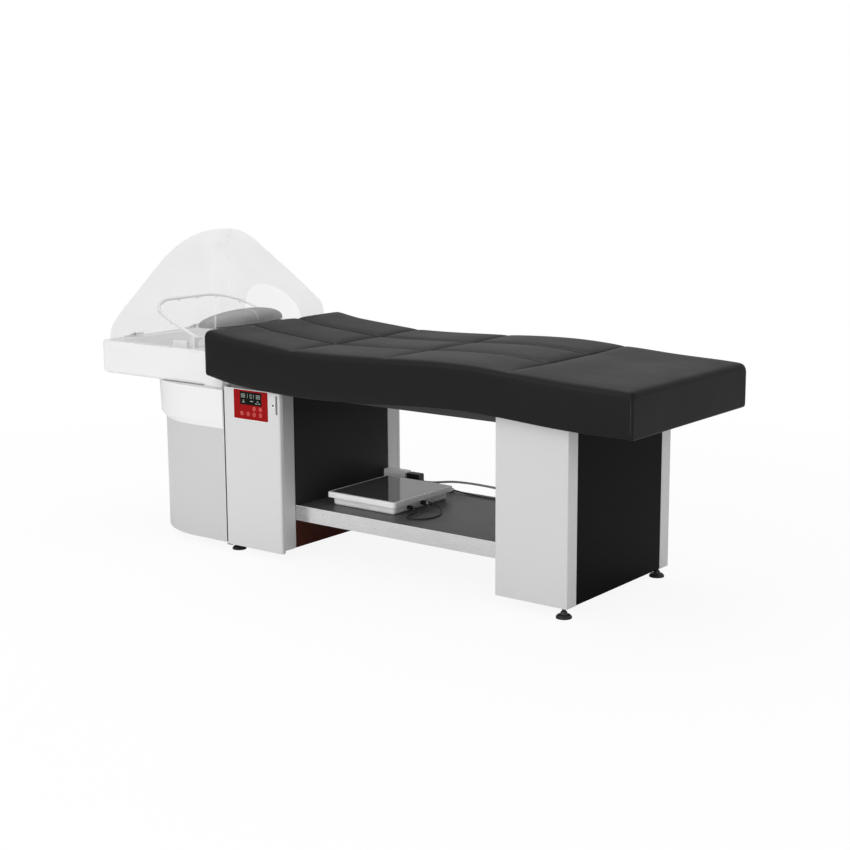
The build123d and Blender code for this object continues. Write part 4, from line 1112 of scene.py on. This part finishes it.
class BED_OT_hood(bpy.types.Operator):
    """Blow the clear hood as one smooth dome with its neck opening and hinge eyes"""

    bl_idname = "bed.hood"
    bl_label = "Hood"

    def execute(self, context):
        places = [i / ROW_STEPS for i in range(ROW_STEPS * (len(HOOD_ROWS) - 1) + 1)]
        bm = bmesh.new()
        outer = ring_skin(bm, [hood_ring(place, 0.0) for place in places], "open")
        inner = ring_skin(bm, [hood_ring(place, HOOD_WALL) for place in reversed(places)], "open")
        bm.faces.new(outer[-1])
        bm.faces.new(inner[0])
        bridge(bm, inner[-1], outer[0])
        piece = bm_piece(bm, "hood_dome", "clear_acrylic")
        self.cut_neck(piece)
        for middle in (-HINGE_Y, HINGE_Y):
            self.cut_notch(piece, middle)
        for middle in (HINGE_Y, -HINGE_Y):
            for shift in (-KNUCKLE, KNUCKLE):
                self.add_eye(piece, middle + shift)
        piece.data.materials.clear()
        piece.data.materials.append(PAINTS["clear_acrylic"])
        smoothed(piece)
        sharpened(piece)
        piece.visible_shadow = False
        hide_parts("hood")
        seat(piece, "hood", "clear_acrylic")
        return {"FINISHED"}

    def cut_neck(self, piece):
        """Cut the arched neck opening through the foot wall."""
        crown = NECK_RISE - NECK_SPRING
        radius = (NECK_HALF ** 2 + crown ** 2) / (2 * crown)
        centre = DECK_TOP + NECK_RISE - radius
        start = math.degrees(math.atan2(DECK_TOP + NECK_SPRING - centre, NECK_HALF))
        outline = [(-NECK_HALF, DECK_TOP - 0.02), (NECK_HALF, DECK_TOP - 0.02)]
        outline += arc(0, centre, radius, start, 180 - 2 * start, 32)
        bm = bmesh.new()
        plate(bm, outline, HOOD_FOOT + 0.02, HOOD_FOOT - 0.13, endwise)
        self.cut(piece, bm)

    def cut_notch(self, piece, middle):
        """Cut the head wall free over a hinge."""
        bm = bmesh.new()
        top = HINGE_Z + HINGE_RADIUS + 0.002
        outline = bar(HOOD_HEAD - 0.01, DECK_TOP - 0.01, HOOD_HEAD + 0.012, top)
        plate(bm, outline, middle - HINGE_NOTCH, middle + HINGE_NOTCH)
        self.cut(piece, bm)

    def cut(self, piece, bm):
        cutter = bm_piece(bm, "cutter", "clear_acrylic")
        boolean = piece.modifiers.new("cut", "BOOLEAN")
        boolean.operation = "DIFFERENCE"
        boolean.solver = "EXACT"
        boolean.object = cutter
        flattened(piece)
        bpy.data.objects.remove(cutter)

    def add_eye(self, piece, middle):
        """Add a moulded hinge eye below the head wall."""
        start, end = middle - KNUCKLE / 2 + 0.0001, middle + KNUCKLE / 2 - 0.0001
        bm = bmesh.new()
        tube(bm, (HINGE_X, start, HINGE_Z), (HINGE_X, end, HINGE_Z), HINGE_RADIUS - 0.0002, HINGE_PIN)
        top = HINGE_Z + HINGE_RADIUS + 0.0024
        plate(bm, bar(HOOD_HEAD, HINGE_Z + 0.0058, HOOD_HEAD + HOOD_WALL, top), start, end)
        bmesh.ops.recalc_face_normals(bm, faces=bm.faces)
        bm.from_mesh(piece.data)
        bm.to_mesh(piece.data)
        bm.free()


# ---------------------------------------------------------------- control panel

SEGMENTS = {"0": "abcdef", "8": "abcdefg", "l": "ef", "r": "bc"}
# Each figure of the display: its sign and where it starts, as a share of the width
FIGURES = (("8", 0.05), ("8", 0.15), ("l", 0.34), ("0", 0.46), ("r", 0.56), ("8", 0.75), ("8", 0.85))
# Each mark of the display: where it starts across and up, and its length, as shares of the window
MARKS = (
    (0.10, 0.16, 0.12),
    (0.13, 0.30, 0.06),
    (0.47, 0.28, 0.14),
    (0.70, 0.14, 0.10),
    (0.84, 0.14, 0.10),
    (0.78, 0.30, 0.08),
)
PRINT_RISE = 0.00015
PRINT_ROOT = 0.0003


def figure(bm, sign, x, z, wide, tall, face, back):
    """A seven-segment figure whose lower left corner is at x and z."""
    thick = tall * 0.14
    gap = thick * 0.15
    middle, right, top = z + tall / 2, x + wide, z + tall
    bars = {
        "a": (x, top - thick, right, top),
        "b": (right - thick, middle, right, top),
        "c": (right - thick, z, right, middle),
        "d": (x, z, right, z + thick),
        "e": (x, z, x + thick, middle),
        "f": (x, middle, x + thick, top),
        "g": (x, middle - thick / 2, right, middle + thick / 2),
    }
    for letter in SEGMENTS[sign]:
        x0, z0, x1, z1 = bars[letter]
        plate(bm, bar(x0 + gap, z0 + gap, x1 - gap, z1 - gap), face, back)


class BED_OT_control_panel(bpy.types.Operator):
    """Print the pale edge, the key marks and the figures of the display"""

    bl_idname = "bed.control_panel"
    bl_label = "Control panel"

    def execute(self, context):
        low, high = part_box("control_plate")
        bm = bmesh.new()
        outer = rounded(low.x - 0.0028, low.z - 0.0030, high.x + 0.0022, high.z + 0.0012, 0.001)
        inner = rounded(low.x + 0.0002, low.z + 0.0002, high.x - 0.0002, high.z - 0.0002, 0.0008)
        band(bm, outer, inner, low.y + 0.0010, high.y - 0.0001)
        seat(bm_piece(bm, "panel_edge", "white_print", smooth=False), "cabinet_door", "red_plate")
        for number in range(1, 7):
            self.key_mark(number)
        self.display(*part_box("display_window"))
        return {"FINISHED"}

    def key_mark(self, number):
        """A ring round the key's face and a plain mark in it."""
        low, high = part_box(f"key_{number}")
        x, z = (low.x + high.x) / 2, (low.z + high.z) / 2
        radius = (high.x - low.x) / 2
        face, back = low.y - PRINT_RISE, low.y + PRINT_ROOT
        size = radius * 0.4
        width = radius * 0.12
        bm = bmesh.new()
        band(bm, circle(x, z, 0.9 * radius), circle(x, z, 0.72 * radius), face, back)
        if number == 1:
            band(bm, circle(x, z, size), circle(x, z, 0.6 * size), face, back)
            marks = [bar(x - width, z, x + width, z + size * 1.3)]
        elif number == 2:
            wide, low_z = 0.7 * size, z - 0.2 * size
            marks = [[(x, z - size), (x + wide, low_z), (x, z + size), (x - wide, low_z)]]
        else:
            marks = [bar(x - size, z - width, x + size, z + width)]
            if number in (4, 6):
                marks.append(bar(x - width, z - size, x + width, z - width))
                marks.append(bar(x - width, z + width, x + width, z + size))
        for outline in marks:
            plate(bm, outline, face, back)
        piece = bm_piece(bm, f"key_mark_{number}", "pink_print", smooth=False)
        seat(piece, f"key_{number}", "key_rubber")

    def display(self, low, high):
        """Three groups of figures over small marks."""
        wide, tall = high.x - low.x, high.z - low.z
        face, back = low.y - PRINT_RISE, low.y + PRINT_ROOT
        bm = bmesh.new()
        for sign, start in FIGURES:
            x, z = low.x + start * wide, low.z + 0.52 * tall
            figure(bm, sign, x, z, 0.084 * wide, 0.34 * tall, face, back)
        for across, up, long in MARKS:
            x, z = low.x + across * wide, low.z + up * tall
            plate(bm, bar(x, z, x + long * wide, z + 0.055 * tall), face, back)
        piece = bm_piece(bm, "display_figures", "display_digits", smooth=False)
        seat(piece, "cabinet_door", "display_glass")


# ---------------------------------------------------------------- small fittings

HOUSING_RADIUS = 0.316
HOUSING_CENTRE = -0.634
HOUSING_END = -0.483
HOUSING_TOP = 0.5565
PLUG_NOSE = 0.1500
GLAND_ROOT = 0.1243
GLAND_Y = -0.085
GLAND_Z = 0.193
DOOR_GAP = -0.4834


def d_outline(radius, end):
    """The housing's plan: straight sides from its end, then a half circle."""
    return [(end, radius), *arc(HOUSING_CENTRE, 0, radius, 90, 180, 40), (end, -radius)]


class BED_OT_small_fittings(bpy.types.Operator):
    """Add the rim, sleeves, lips and lock parts that the frame doesn't have, with a painted highlight on
    the shelf rail and painted shade by the lock
    """

    bl_idname = "bed.small_fittings"
    bl_label = "Small fittings"

    def execute(self, context):
        bm = bmesh.new()
        outer = d_outline(HOUSING_RADIUS - 0.0036, HOUSING_END - 0.0015)
        inner = d_outline(HOUSING_RADIUS - 0.036, HOUSING_END - 0.0025)
        band(bm, outer, inner, HOUSING_TOP - 0.002, HOUSING_TOP, flat)
        seat(bm_piece(bm, "housing_rim", "white_shell", smooth=False), "bed", "white_shell")
        low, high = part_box("link_plug")
        y, z = (low.y + high.y) / 2, (low.z + high.z) / 2
        nose, tip = (PLUG_NOSE, y, z), (PLUG_NOSE + 0.0075, y, z)
        collar = {"start": nose, "end": tip, "radius": 0.0096, "bore": 0.0083}
        self.sleeve("plug_collar", "lock_chrome", "bed", "lock_chrome", **collar)
        root, tip = (GLAND_ROOT, GLAND_Y, GLAND_Z), (PLUG_NOSE + 0.0010, GLAND_Y, GLAND_Z)
        gland = {"start": root, "end": tip, "radius": 0.0062, "bore": 0.0053}
        self.sleeve("gland_sleeve", "black_plastic", "bed", "black_plastic", **gland)
        # Painted highlight: a thin white strip along the top of the shelf's edge rail
        low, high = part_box("shelf_edge_rails")
        strip = bar(low.x + 0.0005, high.z + 0.0002, high.x - 0.0005, high.z + 0.0013)
        highlight_strip = [(strip, low.y - 0.0004, low.y + 0.0018)]
        self.plates("rail_highlight_strip", "white_print", "bed", "edge_steel", highlight_strip)
        low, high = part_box("cam_lock")
        x, z = (low.x + high.x) / 2, high.z - (high.x - low.x) / 2
        # Painted shade: the keyway is a flat dark disc for the shaded inside of the keyhole
        keyway = {"start": (x, low.y - 0.0004, z), "end": (x, low.y + 0.0003, z), "radius": 0.0036}
        self.sleeve("lock_keyway", "dark_recess", "cam_lock", "lock_chrome", **keyway)
        low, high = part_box("cabinet_door")
        # A grey steel strip right of the lock, partly a plate and partly painted shade along the door's
        # edge there
        strip = bar(-0.2410, z - 0.030, -0.2335, z + 0.032)
        seen = [(strip, low.y - 0.0007, low.y - 0.0001)]
        self.plates("lock_plate_and_shade", "lock_shade", "cabinet_door", "lock_chrome", seen)
        near = bar(DOOR_GAP, low.z, -0.4815, high.z - 0.014)
        far = bar(DOOR_GAP, low.z, -0.4812, high.z - 0.014)
        lips = [(near, low.y + 0.0002, low.y + 0.0013), (far, low.y + 0.0155, low.y + 0.0168)]
        self.plates("door_gap_lips", "white_board", "bed", "white_shell", lips)
        return {"FINISHED"}

    def plates(self, name, paint, body, slot, drawings):
        """A piece of flat plates, each an outline between two depths."""
        bm = bmesh.new()
        for outline, front, back in drawings:
            plate(bm, outline, front, back)
        seat(bm_piece(bm, name, paint, smooth=False), body, slot)

    def sleeve(self, name, paint, body, slot, start, end, radius, bore=0.0):
        """A round piece between two places, hollow where it has a bore."""
        bm = bmesh.new()
        tube(bm, start, end, radius, bore)
        piece = bm_piece(bm, name, paint)
        sharpened(piece)
        seat(piece, body, slot)


# ---------------------------------------------------------------- cables

LINK_ROUTE = (
    (0.165, -0.012, 0.196),
    (0.184, -0.012, 0.196),
    (0.206, -0.018, 0.188),
    (0.228, -0.038, 0.183),
    (0.244, -0.066, 0.1816),
    (0.250, -0.100, 0.1819),
    (0.245, -0.134, 0.1816),
    (0.226, -0.160, 0.1818),
    (0.198, -0.170, 0.1816),
    (0.178, -0.162, 0.182),
    (0.173, -0.141, 0.184),
    (0.178, -0.118, 0.187),
    (0.179, -0.099, 0.190),
    (0.169, -0.085, 0.193),
    (0.150, -0.085, 0.193),
)
BACK_ROUTE = (
    (-0.062, 0.230, 0.199),
    (-0.024, 0.230, 0.199),
    (0.022, 0.235, 0.206),
    (0.068, 0.238, 0.213),
    (0.112, 0.237, 0.216),
    (0.170, 0.234, 0.218),
    (0.245, 0.235, 0.216),
    (0.330, 0.238, 0.211),
    (0.420, 0.236, 0.206),
    (0.500, 0.233, 0.204),
    (0.568, 0.235, 0.203),
    (0.635, 0.235, 0.203),
)
COUPLED_ROUTE = (
    (-0.062, 0.222, 0.187),
    (-0.034, 0.222, 0.187),
    (0.001, 0.224, 0.182),
    (0.032, 0.229, 0.1863),
    (0.093, 0.229, 0.1863),
    (0.124, 0.224, 0.183),
    (0.160, 0.220, 0.1817),
    (0.202, 0.217, 0.1819),
    (0.254, 0.220, 0.1816),
    (0.308, 0.225, 0.1818),
    (0.362, 0.223, 0.1816),
    (0.416, 0.217, 0.1819),
    (0.470, 0.215, 0.1816),
    (0.522, 0.217, 0.184),
    (0.578, 0.221, 0.189),
    (0.635, 0.221, 0.189),
)


def lay_cable(name, route, radius, paint, metres, node, **facts):
    """A cable as a smooth curve through its route's control points."""
    curve = bpy.data.curves.new(name, "CURVE")
    curve.dimensions = "3D"
    spline = curve.splines.new("NURBS")
    spline.points.add(len(route) - 1)
    for point, place in zip(spline.points, route):
        point.co = (*place, 1)
    spline.order_u = 3
    spline.use_endpoint_u = True
    curve.resolution_u = 12
    curve.bevel_depth = radius
    curve.bevel_resolution = 4
    curve.use_fill_caps = True
    curve.materials.append(PAINTS[paint])
    piece = linked(name, curve)
    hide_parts(node)
    seat(piece, "bed", "cable_black")


class BED_OT_cables(bpy.types.Operator):
    """Lay the unit's link lead and the two cables at the far side of the shelf"""

    bl_idname = "bed.cables"
    bl_label = "Cables"

    def execute(self, context):
        sizes = context.scene.bed_sizes
        lay_cable(
            "link_lead", LINK_ROUTE, sizes.cable_radius, "cable_black", 0.352, "link_cable",
            stiffness="limp", lay="loose", with_pieces=[NODES["link_plug"]],
        )
        lay_cable(
            "back_cable", BACK_ROUTE, sizes.back_cable_radius, "cable_grey", 0.699, "adapter_cable",
            stiffness="stiff", lay="loose",
        )
        lay_cable(
            "coupled_lead", COUPLED_ROUTE, sizes.cable_radius, "cable_black", 0.699, "coupled_cable",
            stiffness="medium", lay="loose", with_pieces=[NODES["cable_coupler"]],
        )
        return {"FINISHED"}


# ---------------------------------------------------------------- carried-over pieces

# Carried-over pieces whose finish isn't the one that their material slot names
OWN_FINISHES = {
    "tank_housing": "housing_shell",
    "foot_end_panel": "end_board",
    "door_frame": "frame_board",
    "spray_arch": "arch_steel",
    "arch_swivels": "pale_fitting",
    "rim_fitting": "pale_fitting",
}


class BED_OT_finishes(bpy.types.Operator):
    """Give every carried-over piece its finish"""

    bl_idname = "bed.finishes"
    bl_label = "Finishes"

    def execute(self, context):
        for row in frame["record"]["subparts"]:
            node = NODES[row["node"]]
            paint = PAINTS[OWN_FINISHES.get(row["node"], row["material_slot"])]
            for slot in node.material_slots:
                slot.material = paint
            if not node.material_slots:
                node.data.materials.append(paint)
        return {"FINISHED"}


# ---------------------------------------------------------------- stage

PICTURE = 850
FOCAL_PIXELS = 1603.6
CAMERA_PLACE = Vector((3.3030, -4.1108, 1.4299))
CAMERA_YAW = math.radians(-37.652)
CAMERA_PITCH = math.radians(10.626)
CAMERA_ROLL = math.radians(-0.314)
FLOOR_REACH = 30
# Each softbox: its name, place, aim, size and power
SOFTBOXES = (
    ("key", (-1.2, -3.6, 2.6), (0.0, 0.0, 0.4), 3.0, 54),
    ("top", (-0.5, 0.5, 3.4), (-0.4, 0.0, 0.5), 3.0, 52),
    ("side", (4.2, -0.6, 1.4), (0.2, 0.0, 0.4), 2.2, 20),
    ("fill", (1.2, -4.6, 0.6), (0.0, 0.0, 0.25), 2.6, 50),
)


class BED_OT_stage(bpy.types.Operator):
    """Set the pale floor, the soft lights, the background and the camera"""

    bl_idname = "bed.stage"
    bl_label = "Stage"

    def execute(self, context):
        self.floor()
        context.scene.world = self.room()
        self.lights()
        context.scene.camera = self.camera()
        context.scene.view_settings.view_transform = "Standard"
        return {"FINISHED"}

    def floor(self):
        """A matte floor that takes the soft shadow and fades to white away from its middle."""
        corners = [(x, y, 0) for x, y in bar(-FLOOR_REACH, -FLOOR_REACH, FLOOR_REACH, FLOOR_REACH)]
        mesh = bpy.data.meshes.new("floor")
        mesh.from_pydata(corners, [], [(0, 1, 2, 3)])
        paint = Paint("pale_floor")
        paint.set(Base_Color=grey(236), Roughness=0.85, Specular_IOR_Level=0.0)
        away = paint.node("ShaderNodeVectorMath", {"operation": "LENGTH"}, {0: paint.place()}, "Value")
        camera_ray = paint.node("ShaderNodeLightPath", output="Is Camera Ray")
        seen = camera_ray * paint.spread(away, 1.25, 3.2, 0.91, 1.0)
        glow = paint.node("ShaderNodeEmission", None, {"Color": WHITE, "Strength": 1.0})
        matte = Flow(paint, paint.shader.outputs[0])
        mixed = paint.node("ShaderNodeMixShader", None, {0: seen, 1: matte, 2: glow})
        paint.feed(paint.tree.nodes["Material Output"].inputs["Surface"], mixed)
        mesh.materials.append(paint.material)
        linked("floor", mesh)

    def room(self):
        """A room that is white where it is seen and dimmer as a light."""
        world = bpy.data.worlds.new("pale_room")
        world.use_nodes = True
        room = Nodes(world.node_tree)
        camera_ray = room.node("ShaderNodeLightPath", output="Is Camera Ray")
        seen = room.maths("MAXIMUM", camera_ray, camera_ray.beside("Is Transmission Ray"))
        back = room.tree.nodes["Background"]
        room.feed(back.inputs["Color"], WHITE)
        room.feed(back.inputs["Strength"], room.spread(seen, 0.0, 1.0, 0.55, 1.0))
        return world

    def lights(self):
        for name, place, aim, size, power in SOFTBOXES:
            lamp = bpy.data.lights.new(name, "AREA")
            lamp.shape = "SQUARE"
            lamp.size = size
            lamp.energy = power
            light = linked(name, lamp)
            light.location = place
            light.rotation_euler = (Vector(aim) - Vector(place)).to_track_quat("-Z", "Y").to_euler()

    def camera(self):
        """The photo's camera, from its place, its three turns and its focal length in pixels."""
        lens = bpy.data.cameras.new("photo_view")
        lens.sensor_width = 36
        lens.lens = FOCAL_PIXELS / PICTURE * lens.sensor_width
        lens.clip_end = 100
        along = math.cos(CAMERA_PITCH)
        sideways, ahead = math.sin(CAMERA_YAW), math.cos(CAMERA_YAW)
        forward = Vector((sideways * along, ahead * along, -math.sin(CAMERA_PITCH)))
        beside = Vector((ahead, -sideways, 0))
        above = beside.cross(forward)
        right = beside * math.cos(CAMERA_ROLL) + above * math.sin(CAMERA_ROLL)
        up = above * math.cos(CAMERA_ROLL) - beside * math.sin(CAMERA_ROLL)
        turn = Matrix((right, up, -forward)).transposed().to_4x4()
        camera = linked("photo_view", lens)
        camera.matrix_world = Matrix.Translation(CAMERA_PLACE) @ turn
        return camera


# ---------------------------------------------------------------- add-on


class BED_PT_panel(bpy.types.Panel):
    """Buttons for each piece of the bed"""

    bl_label = "Washing Bed"
    bl_idname = "BED_PT_panel"
    bl_space_type = "VIEW_3D"
    bl_region_type = "UI"
    bl_category = "Washing Bed"

    def draw(self, context):
        layout = self.layout
        for group in (context.scene.bed_sizes, context.scene.bed_colours):
            for key in group.__annotations__:
                layout.prop(group, key)
        for step in STEPS:
            layout.operator(step.bl_idname)


STEPS = (
    BED_OT_finishes,
    BED_OT_mattress,
    BED_OT_stitches,
    BED_OT_pillow,
    BED_OT_hood,
    BED_OT_control_panel,
    BED_OT_small_fittings,
    BED_OT_fasteners,
    BED_OT_cables,
    BED_OT_stage,
)
CLASSES = (BedSizes, BedColours, *STEPS, BED_PT_panel)


def register():
    for cls in CLASSES:
        bpy.utils.register_class(cls)
    bpy.types.Scene.bed_sizes = PointerProperty(type=BedSizes)
    bpy.types.Scene.bed_colours = PointerProperty(type=BedColours)


def unregister():
    del bpy.types.Scene.bed_colours
    del bpy.types.Scene.bed_sizes
    for cls in reversed(CLASSES):
        bpy.utils.unregister_class(cls)


def main():
    register()
    make_paints()
    bpy.ops.bed.finishes()
    bpy.ops.bed.mattress()
    bpy.ops.bed.stitches()
    bpy.ops.bed.pillow()
    bpy.ops.bed.hood()
    bpy.ops.bed.control_panel()
    bpy.ops.bed.small_fittings()
    bpy.ops.bed.fasteners()
    bpy.ops.bed.cables()
    bpy.ops.bed.stage()


if __name__ == "__main__":
    main()
